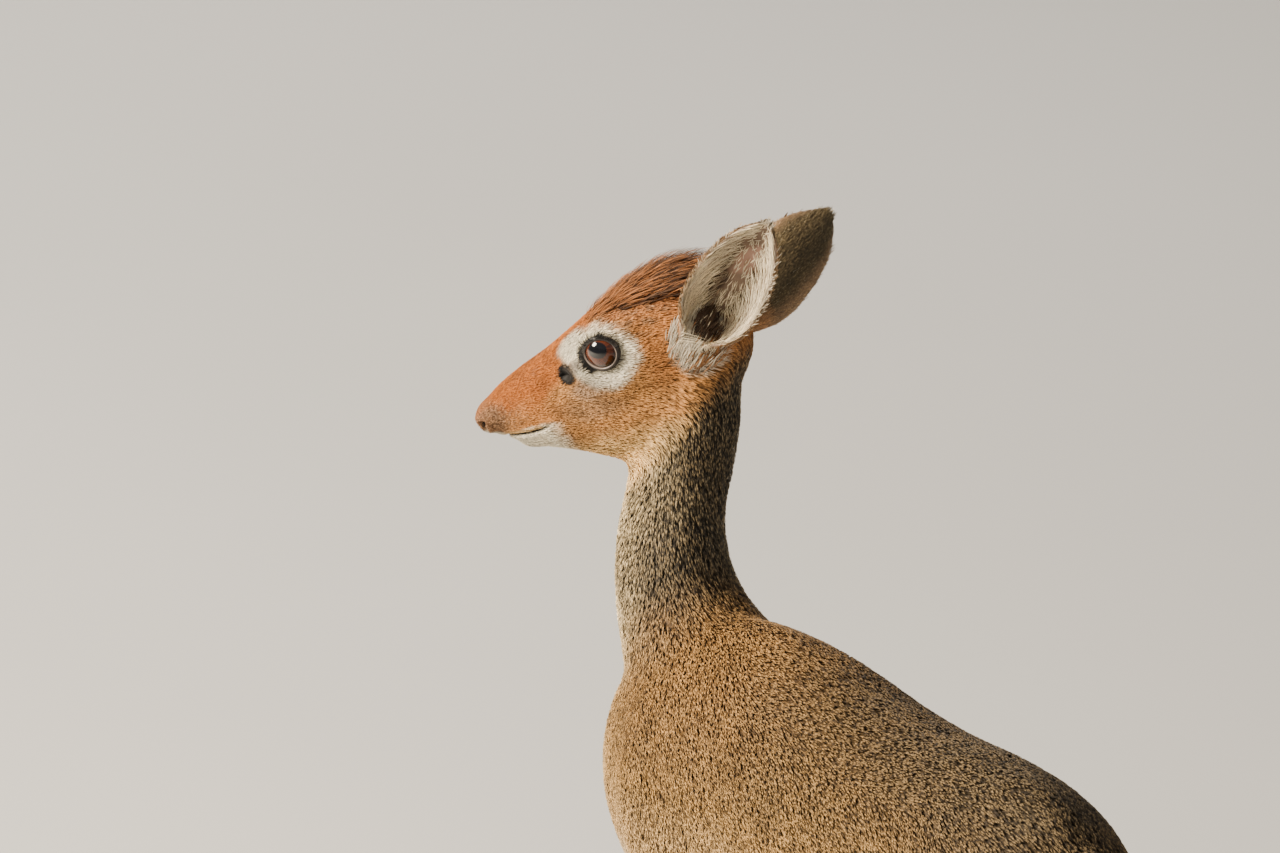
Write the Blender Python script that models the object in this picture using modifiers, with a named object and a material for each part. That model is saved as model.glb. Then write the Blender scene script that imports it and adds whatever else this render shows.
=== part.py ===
"""A life-size standing dik-dik: head, ears, eyes, neck, torso, legs, hooves and tail as separate solids.

Lengths are in metres and +Z is up. The body faces -X, so its left side is -Y, and the head is turned
to its left. The body is lofted and fused whole, then parted with thin cuts. Local tables are in millimetres.
"""
import math
import random

import bmesh
import bpy
from mathutils import Matrix, Vector

MM = 0.001
GAP = 0.3 * MM

# Driving dimensions of the animal
HEAD_ORIGIN = Vector((-42.0, 17.0, 496.0))
HEAD_YAW = math.radians(45.0)
HEAD_PITCH = math.radians(24.5)
EAR_LENGTH = 83.5
EAR_THICKNESS = 2.4
EYE_RADIUS = 10.6
EYE_CENTRE = (42.0, 20.5, 12.6)
LID_THICKNESS = 1.7
HOOF_TOP = 16.0
FORE_PART_HEIGHT = 134.0
HIND_PART_HEIGHT = 168.0

# Mesh fineness
BODY_VOXEL = 3.2 * MM
HEAD_VOXEL = 1.5 * MM
RING_SIDES = 28
LIMB_SIDES = 16

# One row per cross-section: x, top, bottom, half width, height of the widest point
TORSO_SECTIONS = [
    (-64, 290, 264, 4, 277),
    (-61, 303, 253, 14, 276),
    (-53, 328, 234, 33, 274),
    (-30, 348, 215, 47, 273),
    (0, 360, 208, 53.5, 278),
    (40, 368, 206, 56, 288),
    (90, 368, 208, 58, 290),
    (135, 361, 211, 61, 290),
    (180, 359, 214, 61.5, 290),
    (225, 362, 221, 59, 294),
    (262, 361, 236, 54, 302),
    (295, 353, 256, 45, 308),
    (320, 340, 274, 34, 312),
    (334, 325, 290, 20, 308),
    (341, 313, 300, 7, 307),
]

# Neck: centre x, y, z, half width across, half depth fore and aft
NECK_SECTIONS = [
    (0, 0, 316, 42, 54),
    (-19, -1, 338, 36, 43),
    (-33, -1.5, 360, 31, 34),
    (-40, -1, 384, 27, 31),
    (-44, 4, 408, 24.5, 27.5),
    (-45, 10, 430, 24.5, 27.5),
    (-44, 13, 455, 24, 28.5),
    (-43, 15, 480, 21, 25),
]

# Head, in its own frame (x to the nose, z up): x, top, bottom, half width, height of the widest point
HEAD_SECTIONS = [
    (-25, 16, -12, 9, 4),
    (-20, 25, -22, 18, 5),
    (-10, 32, -31, 23, 6),
    (4, 36.5, -38, 25.5, 7),
    (18, 37.5, -46, 26.5, 8),
    (32, 35, -50, 27.5, 9),
    (44, 31, -53, 27.5, 9),
    (56, 26.5, -52, 24.5, 6),
    (67, 22, -47.5, 20.5, 2),
    (78, 18.5, -40.5, 17, -4),
    (88, 16.3, -34.8, 15, -7),
    (97, 13.6, -29.5, 13.2, -8),
    (105, 11, -26, 11.6, -8),
    (111, 8.6, -20, 10.2, -7),
    (117, 5.0, -14.6, 9.6, -5),
    (122, 3.4, -13.4, 9.0, -5),
    (125.5, 1.0, -10.5, 6.2, -5),
    (127, -2, -8, 2.6, -5),
]

# Legs: x, y (outwards), z, half width across, half depth along the leg's own front-to-back line
FORE_LEG = [
    (22, 32, 306, 12, 30),
    (16, 39, 286, 18, 35),
    (22, 43, 258, 16.5, 29),
    (38, 41, 234, 13, 22),
    (41, 38, 205, 10.5, 15),
    (41, 35, 175, 8.2, 10.5),
    (39, 33, 150, 7.4, 8.6),
    (37, 32, 134, 8.3, 9.4),
    (37, 31.5, 118, 6.8, 7.4),
    (38, 31, 98, 5.6, 6.2),
    (39, 30.5, 68, 5.3, 5.9),
    (40, 30, 46, 6.1, 6.8),
    (39, 30, 37, 7.0, 7.8),
    (35, 30, 26, 6.4, 6.9),
    (31, 30, 17, 7.6, 8.6),
    (30, 30, 13, 7.6, 8.6),
]
HIND_LEG = [
    (284, 26, 316, 15, 32),
    (277, 33, 299, 21, 43),
    (263, 40, 274, 23, 42),
    (254, 43, 250, 20, 34),
    (266, 41, 226, 14.5, 25),
    (289, 39, 203, 10.5, 16.5),
    (309, 37, 185, 8.8, 11.5),
    (324, 36, 169, 8.6, 11.5),
    (327, 35.5, 152, 8.0, 9.6),
    (326, 35, 130, 6.2, 7.6),
    (324, 34.5, 90, 5.6, 6.6),
    (322, 34, 54, 6.0, 7.0),
    (320, 34, 40, 7.2, 8.2),
    (315, 34, 28, 6.5, 7.1),
    (311, 34, 18, 7.7, 8.8),
    (310, 34, 13, 7.7, 8.8),
]
# The four feet stand a little off square, as a relaxed animal's do: leg, side, shift of the foot along x
STANCE = {("fore", "left"): -9.0, ("fore", "right"): 6.0, ("hind", "left"): 8.0, ("hind", "right"): -12.0}
SIDES = {"left": -1.0, "right": 1.0}
# Where a leg parts from the trunk, level by level: height, low x, high x and the inner face's distance
# from the animal's middle
LEG_CELLS = {
    "fore": [
        (-20, -60, 100, 20),
        (212, -52, 76, 20),
        (238, -44, 72, 23),
        (276, -36, 74, 30),
        (312, -14, 80, 33),
    ],
    "hind": [
        (-20, 190, 400, 14),
        (222, 208, 400, 14),
        (248, 212, 400, 18),
        (288, 222, 400, 28),
        (316, 238, 400, 31),
    ],
}
# The tail, from inside the rump to its tip: x, y, z, half width, half depth
TAIL_ROWS = [
    (318, 0, 334, 8, 9),
    (334, 0, 331, 9, 9),
    (347, 0, 319, 8.5, 8),
    (352, 0, 300, 7, 6),
    (352, 0, 281, 2.2, 2),
]
# Small hollows of the face, in the head's frame: place and radii
NOSTRIL_PLACE = (125.2, 4.6, -6.4)
NOSTRIL_RADII = (3.4, 1.7, 3.2)
NOSTRIL_SLANT = math.radians(-35)
NOSTRIL_SPLAY = math.radians(20)
GLAND_PLACE = (68.5, 22.0, 6.0)
GLAND_RADII = (4.4, 2.8, 3.8)
# The small claws behind each pastern: radii, spacing from the leg's middle and drop below the table's row
DEWCLAW_RADII = (2.6, 2.0, 4.2)
DEWCLAW_SPACING = 3.0
DEWCLAW_DROP = 6.0
DEWCLAW_REACH = 0.55
DEWCLAW_TILT = math.radians(25)

# Ears, in the head's frame (forward, left, up): root, tip direction and the way the cup opens
EAR_POSE = {
    "left": (Vector((-6, 18, 1)), Vector((-0.777, 0.241, 0.582)), Vector((-0.10, 0.97, 0.10))),
    "right": (Vector((-10, -18.5, -6)), Vector((-0.648, -0.716, 0.263)), Vector((0.32, -0.92, -0.23))),
}
# Along the ear: fraction of its length, half width, half angle that the cup wraps
EAR_SECTIONS = [
    (-0.10, 7.5, 160),
    (0.02, 10.0, 150),
    (0.14, 13.2, 132),
    (0.28, 17.2, 106),
    (0.43, 19.4, 84),
    (0.58, 18.9, 70),
    (0.73, 16.6, 60),
    (0.86, 12.8, 52),
    (0.95, 8.2, 48),
    (1.00, 3.6, 46),
]

# How far out of the body a leg's cell reaches
CELL_REACH = 140.0

CREST_ROWS = 6
CREST_LOCKS_PER_ROW = 5
MATERIALS = {
    "face_coat": ((0.52, 0.24, 0.09), 0.75),
    "neck_coat": ((0.34, 0.27, 0.18), 0.80),
    "body_coat": ((0.37, 0.24, 0.13), 0.80),
    "leg_coat": ((0.50, 0.31, 0.16), 0.78),
    "ear_coat": ((0.44, 0.35, 0.24), 0.80),
    "eye": ((0.05, 0.015, 0.008), 0.08),
    "hoof": ((0.035, 0.028, 0.024), 0.42),
}


def clear_scene():
    """Removes whatever the scene holds."""
    for obj in list(bpy.data.objects):
        bpy.data.objects.remove(obj)


def make_collection(name, hidden=False):
    """A collection in the scene; a hidden one holds cutters and raw forms."""
    collection = bpy.data.collections.new(name)
    collection.hide_render = hidden
    bpy.context.scene.collection.children.link(collection)
    return collection


def principled(name):
    """The material of one kind of coat or horn."""
    colour, roughness = MATERIALS[name]
    material = bpy.data.materials.get(name) or bpy.data.materials.new(name)
    material.use_nodes = True
    shader = material.node_tree.nodes["Principled BSDF"]
    shader.inputs["Base Color"].default_value = (*colour, 1.0)
    shader.inputs["Roughness"].default_value = roughness
    shader.inputs["Metallic"].default_value = 0.0
    material.diffuse_color = (*colour, 1.0)
    return material


def link_mesh(name, bm, collection):
    """Writes a bmesh to a new object with its normals facing out."""
    bmesh.ops.recalc_face_normals(bm, faces=bm.faces)
    mesh = bpy.data.meshes.new(name)
    bm.to_mesh(mesh)
    bm.free()
    obj = bpy.data.objects.new(name, mesh)
    collection.objects.link(obj)
    return obj


def smooth_rows(rows, steps):
    """Catmull-Rom rows between the given rows, so that a loft has no kinks."""
    padded = [rows[0]] + list(rows) + [rows[-1]]
    out = []
    for i in range(1, len(padded) - 2):
        for k in range(steps):
            t = k / steps
            weights = (
                (-t + 2 * t**2 - t**3) / 2,
                (2 - 5 * t**2 + 3 * t**3) / 2,
                (t + 4 * t**2 - 3 * t**3) / 2,
                (-t**2 + t**3) / 2,
            )
            span = padded[i - 1 : i + 3]
            out.append(tuple(sum(w * row[c] for w, row in zip(weights, span)) for c in range(len(rows[0]))))
    out.append(tuple(float(v) for v in rows[-1]))
    return out


def loft(name, rings, collection):
    """A closed tube through rings of equal length, given in millimetres."""
    bm = bmesh.new()
    loops = [[bm.verts.new(p * MM) for p in ring] for ring in rings]
    count = len(loops[0])
    for low, high in zip(loops, loops[1:]):
        for i in range(count):
            j = (i + 1) % count
            bm.faces.new((low[i], low[j], high[j], high[i]))
    bm.faces.new(loops[0][::-1])
    bm.faces.new(loops[-1])
    return link_mesh(name, bm, collection)


def egg_point(row, angle, fullness=2.0):
    """A point of an upright egg-shaped section, in the YZ plane; fullness above 2 squares its lower half."""
    x, top, bottom, half_width, widest = row
    across, rise = math.cos(angle), math.sin(angle)
    if rise >= 0:
        return Vector((x, half_width * across, widest + (top - widest) * rise))
    power = 2.0 / fullness
    y = math.copysign(abs(across) ** power, across)
    return Vector((x, half_width * y, widest - (widest - bottom) * abs(rise) ** power))


def egg_rings(table, steps, fullness=2.0):
    """The rings of a trunk or head through a table of sections."""
    return [
        [egg_point(row, math.tau * i / RING_SIDES, fullness) for i in range(RING_SIDES)]
        for row in smooth_rows(table, steps)
    ]


def tube_rings(rows, sides):
    """Elliptical rings square to the path of a neck or leg, given as centre, half width and half depth."""
    rings = []
    for i, row in enumerate(rows):
        centre = Vector(row[:3])
        ahead = Vector(rows[min(i + 1, len(rows) - 1)][:3])
        behind = Vector(rows[max(i - 1, 0)][:3])
        along = (ahead - behind).normalized()
        depth_axis = Vector((0, 1, 0)).cross(along).normalized()
        width_axis = along.cross(depth_axis).normalized()
        across, deep = row[3], row[4]
        rings.append(
            [
                centre
                + width_axis * across * math.cos(math.tau * k / sides)
                + depth_axis * deep * math.sin(math.tau * k / sides)
                for k in range(sides)
            ]
        )
    return rings


def ellipsoid(name, centre, radii, collection, turn=None, segments=24):
    """An ellipsoid in millimetres, turned by a matrix about its own centre."""
    bm = bmesh.new()
    bmesh.ops.create_uvsphere(bm, u_segments=segments, v_segments=segments // 2, radius=1.0)
    place = Matrix.Translation(Vector(centre) * MM) @ (turn or Matrix.Identity(4))
    bmesh.ops.transform(bm, matrix=place @ Matrix.Diagonal((*(r * MM for r in radii), 1.0)), verts=bm.verts)
    return link_mesh(name, bm, collection)


def head_axes():
    """The head's forward, left and up directions in the body's frame."""
    level = Vector((-math.cos(HEAD_YAW), -math.sin(HEAD_YAW), 0))
    forward = level * math.cos(HEAD_PITCH) - Vector((0, 0, 1)) * math.sin(HEAD_PITCH)
    left = Vector((0, 0, 1)).cross(level)
    return forward, left, forward.cross(left)


def head_matrix():
    """Carries the head's own millimetre frame, already scaled to metres, into the body's frame."""
    forward, left, up = head_axes()
    place = Matrix((forward, left, up)).transposed().to_4x4()
    place.translation = HEAD_ORIGIN * MM
    return place


def to_body(obj):
    """Moves a form built in the head's frame to its place on the body."""
    obj.data.transform(head_matrix())
    return obj


def evaluated_copy(obj, name, collection):
    """A plain mesh object of another object's result after its modifiers."""
    graph = bpy.context.evaluated_depsgraph_get()
    mesh = bpy.data.meshes.new_from_object(obj.evaluated_get(graph))
    mesh.transform(obj.matrix_world)
    made = bpy.data.objects.new(name, mesh)
    collection.objects.link(made)
    return made


def joined(name, objects, collection):
    """One object that holds the meshes of several closed forms."""
    bm = bmesh.new()
    for obj in objects:
        bm.from_mesh(obj.data)
    mesh = bpy.data.meshes.new(name)
    bm.to_mesh(mesh)
    bm.free()
    made = bpy.data.objects.new(name, mesh)
    collection.objects.link(made)
    return made


def fused(name, forms, voxel, smoothing, triangles, collection):
    """Fuses overlapping forms into one skin, softens the joins and thins the mesh."""
    raw = joined(name + "_raw", forms, collection)
    remesh = raw.modifiers.new("fuse", "REMESH")
    remesh.mode = "VOXEL"
    remesh.voxel_size = voxel
    soften = raw.modifiers.new("soften", "SMOOTH")
    soften.factor = 0.5
    soften.iterations = smoothing
    triangulate = raw.modifiers.new("triangulate", "TRIANGULATE")
    triangulate.quad_method = "BEAUTY"
    dense = evaluated_copy(raw, name + "_dense", collection)
    thin = dense.modifiers.new("thin", "DECIMATE")
    thin.ratio = min(1.0, triangles / len(dense.data.polygons))
    return evaluated_copy(dense, name, collection)


def keep_largest(bm):
    """Deletes every loose surface but the one with the most volume."""
    unseen = set(bm.verts)
    pieces = []
    while unseen:
        stack = [unseen.pop()]
        found = set(stack)
        while stack:
            for edge in stack.pop().link_edges:
                for vert in edge.verts:
                    if vert not in found:
                        found.add(vert)
                        stack.append(vert)
        unseen -= found
        pieces.append(found)
    pieces.sort(key=len, reverse=True)
    bmesh.ops.delete(bm, geom=[v for piece in pieces[1:] for v in piece], context="VERTS")


def half(obj, point, normal, name, collection):
    """The part of a closed mesh on the side that the normal points to, with its cut face filled."""
    bm = bmesh.new()
    bm.from_mesh(obj.data)
    geometry = list(bm.verts) + list(bm.edges) + list(bm.faces)
    cut = bmesh.ops.bisect_plane(
        bm, geom=geometry, dist=1e-7, plane_co=point, plane_no=normal, clear_inner=True
    )
    rim = [e for e in cut["geom_cut"] if isinstance(e, bmesh.types.BMEdge)]
    bmesh.ops.holes_fill(bm, edges=rim, sides=0)
    keep_largest(bm)
    bmesh.ops.triangulate(bm, faces=[f for f in bm.faces if len(f.verts) > 3])
    return link_mesh(name, bm, collection)


def boolean(obj, other, operation, name, collection, solver="EXACT"):
    """The result of one Boolean on a mesh, as a new object that keeps its largest surface."""
    modifier = obj.modifiers.new("cut", "BOOLEAN")
    modifier.operation = operation
    modifier.solver = solver
    modifier.object = other
    made = evaluated_copy(obj, name, collection)
    obj.modifiers.remove(modifier)
    bm = bmesh.new()
    bm.from_mesh(made.data)
    keep_largest(bm)
    bmesh.ops.triangulate(bm, faces=[f for f in bm.faces if len(f.verts) > 3])
    bm.to_mesh(made.data)
    bm.free()
    return made


def inflated(obj, distance, collection):
    """A copy of a closed mesh grown outwards, used to cut what grows from it clear of it."""
    made = evaluated_copy(obj, obj.name + "_grown", collection)
    grow = made.modifiers.new("grow", "DISPLACE")
    grow.strength = distance
    grow.mid_level = 0.0
    return evaluated_copy(made, obj.name + "_sleeve", collection)


def leg_rows(table, side, shift):
    """One leg's rows on its side, with the foot shifted along x and the shift fading up the leg."""
    top, foot = table[0][2], table[-1][2]
    rows = []
    for x, y, z, across, deep in table:
        share = min(1.0, max(0.0, (top - 40 - z) / (top - 80 - foot)))
        rows.append((x + shift * share, y * side, z, across, deep))
    return smooth_rows(rows, 2)


def trunk_forms(raw):
    """Closed forms of the trunk and neck, with the shoulder, haunch, brisket and hock masses."""
    forms = [
        loft("trunk", egg_rings(TORSO_SECTIONS, 3, 2.4), raw),
        loft("throat", tube_rings(smooth_rows(NECK_SECTIONS, 3), RING_SIDES), raw),
        ellipsoid("withers", (58, 0, 344), (60, 18, 28), raw),
        ellipsoid("croup", (262, 0, 334), (55, 26, 29), raw),
    ]
    for name, side in SIDES.items():
        lean = Matrix.Rotation(math.radians(22), 4, "Y") @ Matrix.Rotation(math.radians(14 * side), 4, "X")
        forms.append(ellipsoid("shoulder_" + name, (22, 36 * side, 303), (34, 19, 52), raw, lean))
        forms.append(ellipsoid("point_" + name, (-18, 33 * side, 272), (26, 18, 30), raw))
        forms.append(ellipsoid("haunch_" + name, (278, 32 * side, 286), (42, 22, 45), raw))
        hock = (337 + STANCE["hind", name] * 0.62, 36 * side, 178)
        forms.append(ellipsoid("heel_" + name, hock, (6.5, 5.6, 10), raw))
    return forms


def limb_forms(raw):
    """Closed forms of the four legs, from the shoulder or hip to the top of the hooves."""
    forms = []
    for (leg, side), shift in STANCE.items():
        rows = leg_rows(FORE_LEG if leg == "fore" else HIND_LEG, SIDES[side], shift)
        forms.append(loft(f"{leg}_limb_{side}", tube_rings(rows, LIMB_SIDES), raw))
    return forms


def head_forms(raw):
    """Closed forms of the skull, cheeks, brows, lids, nose pad and chin, placed on the body."""
    skull = loft("skull", egg_rings(HEAD_SECTIONS, 3), raw)
    forms = [
        skull,
        ellipsoid("nose_pad", (119.5, 0, -4.5), (7.4, 9.4, 8.6), raw),
        ellipsoid("upper_lip", (107, 0, -10.8), (13, 10.0, 5.2), raw),
        ellipsoid("chin", (100, 0, -23.4), (11, 7.6, 4.8), raw),
    ]
    for name, side in SIDES.items():
        # In the head's frame the left side is +Y.
        y = -side
        brow = Matrix.Rotation(math.radians(18), 4, "Y")
        forms += [
            ellipsoid("cheek_" + name, (34, 13.5 * y, -19), (36, 12, 26), raw),
            ellipsoid("brow_" + name, (40, 18 * y, 15.5), (24, 12, 12), raw, brow),
            ellipsoid("socket_" + name, (43, 17.5 * y, 10), (23, 13.6, 17), raw),
            ellipsoid("lids_" + name, (EYE_CENTRE[0], EYE_CENTRE[1] * y, EYE_CENTRE[2]),
                      (EYE_RADIUS + LID_THICKNESS,) * 3, raw, segments=32),
        ]
    return [to_body(form) for form in forms]


def eye_opening(side, raw):
    """The almond between the lids: a short prism that starts inside the eyeball and runs outwards."""
    y = -SIDES[side]
    half_long, half_high, corner_drop = 9.4, 7.9, 1.6
    points = 24
    inner, outer = [], []
    for i in range(points):
        angle = math.tau * i / points
        x = half_long * math.cos(angle)
        z = half_high * math.sin(angle) * (1 - 0.10 * math.cos(angle)) - corner_drop * math.cos(angle)
        for ring, depth in ((inner, 3.0), (outer, 26.0)):
            ring.append(Vector((EYE_CENTRE[0] + x, (EYE_CENTRE[1] + depth) * y, EYE_CENTRE[2] + z)))
    return to_body(loft("fissure_" + side, [inner, outer], raw))


def surface_point(x, angle):
    """A point on the skull's loft, in the head's frame, at x and an angle round the section."""
    return egg_point(min(smooth_rows(HEAD_SECTIONS, 12), key=lambda row: abs(row[0] - x)), angle)


def skull_width(x, z):
    """Half the skull's width at x and a height below its widest, in the head's frame."""
    _, _, bottom, half_width, widest = min(smooth_rows(HEAD_SECTIONS, 12), key=lambda row: abs(row[0] - x))
    share = min(1.0, (widest - z) / (widest - bottom))
    return half_width * math.sqrt(1 - share * share)


def tube_along(name, points, radius, collection):
    """A closed round tube through points given in millimetres."""
    curve = bpy.data.curves.new(name, "CURVE")
    curve.dimensions = "3D"
    curve.bevel_depth = radius * MM
    curve.bevel_resolution = 1
    curve.use_fill_caps = True
    spline = curve.splines.new("POLY")
    spline.points.add(len(points) - 1)
    for target, point in zip(spline.points, points):
        target.co = (*(point * MM), 1.0)
    line = bpy.data.objects.new(name + "_line", curve)
    collection.objects.link(line)
    bpy.context.view_layer.update()
    made = evaluated_copy(line, name, collection)
    bm = bmesh.new()
    bm.from_mesh(made.data)
    bmesh.ops.remove_doubles(bm, verts=bm.verts, dist=0.02 * MM)
    bmesh.ops.recalc_face_normals(bm, faces=bm.faces)
    bm.to_mesh(made.data)
    bm.free()
    bpy.data.objects.remove(line)
    return made


def mouth_line(raw):
    """The groove between the lips, from one corner round the front of the muzzle to the other."""
    side = []
    steps = 12
    for i in range(steps + 1):
        t = i / steps
        x, z = 91.0 + 21.0 * t, -16.8 + 1.6 * t - 0.5 * math.sin(math.pi * t)
        side.append(Vector((x, skull_width(x, z) - 0.1, z)))
    front = [Vector((113.6, 3.2, -15.4)), Vector((113.6, 0, -16.8)), Vector((113.6, -3.2, -15.4))]
    mirrored = [Vector((p.x, -p.y, p.z)) for p in reversed(side)]
    return to_body(tube_along("mouth", side + front + mirrored, 1.05, raw))


def head_cutters(raw):
    """What is hollowed from the head: lids, eye sockets, nostrils, scent glands and the mouth line."""
    cutters = [mouth_line(raw)]
    for side, sign in SIDES.items():
        y = -sign
        eye = (EYE_CENTRE[0], EYE_CENTRE[1] * y, EYE_CENTRE[2])
        cutters.append(eye_opening(side, raw))
        orbit_radii = (EYE_RADIUS + GAP / MM,) * 3
        cutters.append(to_body(ellipsoid("orbit_" + side, eye, orbit_radii, raw, segments=28)))
        slant = Matrix.Rotation(NOSTRIL_SLANT, 4, "Y") @ Matrix.Rotation(NOSTRIL_SPLAY * y, 4, "Z")
        nostril = (NOSTRIL_PLACE[0], NOSTRIL_PLACE[1] * y, NOSTRIL_PLACE[2])
        cutters.append(to_body(ellipsoid("nostril_" + side, nostril, NOSTRIL_RADII, raw, slant, 14)))
        gland = (GLAND_PLACE[0], GLAND_PLACE[1] * y, GLAND_PLACE[2])
        cutters.append(to_body(ellipsoid("gland_" + side, gland, GLAND_RADII, raw, segments=14)))
    return cutters


def crest_lock(start, end, angle, end_angle, rise, width):
    """A flat tapered lock that leaves the crown at its root, bends to lie along it and lifts at the tip."""
    rows = [(0.0, -2.4, 0.70), (0.25, 1.0, 1.0), (0.5, 2.4, 1.0), (0.76, 0.8 * rise, 0.70), (1.0, rise, 0.15)]
    centres = []
    for t, height, _ in rows:
        turn = angle + (end_angle - angle) * t
        out = Vector((0, math.cos(turn), math.sin(turn)))
        centres.append((surface_point(start + (end - start) * t, turn) + out * height, out))
    rings = []
    for i, (centre, out) in enumerate(centres):
        ahead, behind = centres[min(i + 1, 4)][0], centres[max(i - 1, 0)][0]
        along = (ahead - behind).normalized()
        side_axis = out.cross(along).normalized()
        lift = along.cross(side_axis).normalized()
        half_width = width * rows[i][2]
        half_thick = 0.95 - 0.55 * rows[i][0]
        rings.append([centre + side_axis * half_width, centre + lift * half_thick,
                      centre - side_axis * half_width, centre - lift * half_thick])
    return rings


def crest_forms(raw):
    """The tuft on the crown: rows of flat locks rooted between brow and poll that lie back and overlap."""
    rng = random.Random(7)
    forms = []
    for row in range(CREST_ROWS):
        x = 47.0 - 8.6 * row
        for place in range(CREST_LOCKS_PER_ROW):
            share = (place + 0.25 + 0.5 * (row % 2)) / CREST_LOCKS_PER_ROW * 2 - 1 + rng.uniform(-0.06, 0.06)
            start = x + rng.uniform(-1.5, 1.5)
            end = max(start - rng.uniform(18, 23), -17.5)
            rise = (3.6 + 0.17 * (28 - end)) * rng.uniform(0.85, 1.1) * (1 - 0.35 * share * share)
            angle = math.pi / 2 - share * (0.60 + 0.02 * row)
            end_angle = math.pi / 2 - share * (0.66 + 0.03 * row)
            rings = crest_lock(start, end, angle, end_angle, max(rise, 3.0), rng.uniform(3.6, 4.6))
            forms.append(to_body(loft(f"lock_{row}_{place}", rings, raw)))
    return forms


def union_all(obj, others, name, collection):
    """One Boolean union of a mesh with every closed form of a list, by way of a collection of its own."""
    group = make_collection(name + "_forms", hidden=True)
    for other in others:
        group.objects.link(other)
    modifier = obj.modifiers.new("join", "BOOLEAN")
    modifier.operation = "UNION"
    modifier.solver = "EXACT"
    modifier.operand_type = "COLLECTION"
    modifier.collection = group
    made = evaluated_copy(obj, name, collection)
    obj.modifiers.remove(modifier)
    bm = bmesh.new()
    bm.from_mesh(made.data)
    keep_largest(bm)
    bmesh.ops.triangulate(bm, faces=[f for f in bm.faces if len(f.verts) > 3])
    bm.to_mesh(made.data)
    bm.free()
    bpy.data.collections.remove(group)
    return made


def ear(side, raw):
    """One ear as a cupped leaf: a wrapped base that opens into a broad blade with a rounded tip."""
    root, tip_way, opening = EAR_POSE[side]
    axis = tip_way.normalized()
    face = (opening - axis * opening.dot(axis)).normalized()
    across = axis.cross(face)
    columns = 10
    bm = bmesh.new()
    grid = []
    for fraction, half_width, wrap in smooth_rows(EAR_SECTIONS, 2):
        angle = math.radians(wrap)
        radius = half_width / (math.sin(angle) if wrap < 90 else 1.0)
        bend = 5.0 * math.sin(math.pi * min(1.0, fraction)) - 4.0 * fraction**3
        base = root + axis * (EAR_LENGTH * fraction) - face * bend
        row = []
        for i in range(columns + 1):
            turn = angle * (2 * i / columns - 1)
            droop = EAR_LENGTH * 0.05 * (turn / angle) ** 2 * fraction
            point = base + across * (radius * math.sin(turn)) + face * (radius * (1 - math.cos(turn)))
            row.append(bm.verts.new((point - axis * droop) * MM))
        grid.append(row)
    for low, high in zip(grid, grid[1:]):
        for i in range(columns):
            bm.faces.new((low[i], low[i + 1], high[i + 1], high[i]))
    obj = to_body(link_mesh("ear_sheet_" + side, bm, raw))
    shell = obj.modifiers.new("shell", "SOLIDIFY")
    shell.thickness = EAR_THICKNESS * MM
    shell.offset = 0.0
    shell.use_quality_normals = True
    shell.use_even_offset = False
    split = obj.modifiers.new("split", "TRIANGULATE")
    split.quad_method = "FIXED"
    return evaluated_copy(obj, "ear_shell_" + side, raw)


def hoof_claw(leg, side, inner, raw):
    """One of the two pointed claws of a foot, flat underneath, with its crown level with the leg's end."""
    table, shift = (FORE_LEG if leg == "fore" else HIND_LEG), STANCE[leg, side]
    foot_x, foot_y = table[-1][0] + shift, table[-1][1] * SIDES[side]
    away = SIDES[side] * (-1 if inner else 1)
    cleft, claw_width = 0.45, 6.6
    # Height, toe reach, heel reach, width share
    levels = [
        (0.0, 17.5, 7.8, 1.04),
        (2.5, 17.0, 8.4, 1.08),
        (9.0, 13.4, 8.3, 1.04),
        (HOOF_TOP, 9.2, 7.0, 0.94),
    ]
    rings = []
    points = 16
    for height, toe, heel, share in levels:
        ring = []
        for i in range(points):
            angle = math.tau * i / points
            run = math.cos(angle)
            x = -toe * run if run > 0 else -heel * run
            taper = 1 - 0.55 * max(0.0, run) ** 2
            breadth = claw_width * share * abs(math.sin(angle)) ** 0.8 * taper
            outward = breadth * (0.92 if math.sin(angle) > 0 else 0.08)
            if math.sin(angle) <= 0:
                outward = -breadth * 0.06
            ring.append(Vector((foot_x + x, foot_y + away * (cleft + 0.4 + outward), height)))
        rings.append(ring)
    return loft(f"claw_{leg}_{side}_{inner}", rings, raw)


def dewclaws(leg, side, raw):
    """The two small rear claws behind the fetlock."""
    table, shift = (FORE_LEG if leg == "fore" else HIND_LEG), STANCE[leg, side]
    x, y, z, _, deep = table[-4]
    forms = []
    for away in (-1, 1):
        tilt = Matrix.Rotation(DEWCLAW_TILT, 4, "Y")
        spread = y * SIDES[side] + away * DEWCLAW_SPACING
        centre = (x + shift + deep * DEWCLAW_REACH, spread, z - DEWCLAW_DROP)
        forms.append(ellipsoid(f"dew_{leg}_{side}_{away}", centre, DEWCLAW_RADII, raw, tilt, 10))
    return forms


def tail_form(raw):
    """The short tail, hanging close behind the rump and tapering to a soft point."""
    return loft("tail_raw", tube_rings(smooth_rows(TAIL_ROWS, 3), 14), raw)


def leg_cell(leg, side, grow, raw):
    """The space that holds one leg, stacked from level boxes; the trunk's cut uses it grown by the gap."""
    sign = SIDES[side]
    rings = []
    rows = LEG_CELLS[leg]
    for i, (z, low_x, high_x, near_y) in enumerate(rows):
        level = z + (grow if i == len(rows) - 1 else 0)
        low, high, near = low_x - grow, high_x + grow, near_y - grow
        corners = [(low, near), (high, near), (high, CELL_REACH), (low, CELL_REACH)]
        rings.append([Vector((x, y * sign, level)) for x, y in corners])
    return loft(f"cell_{leg}_{side}_{grow:.1f}", rings, raw)


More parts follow.
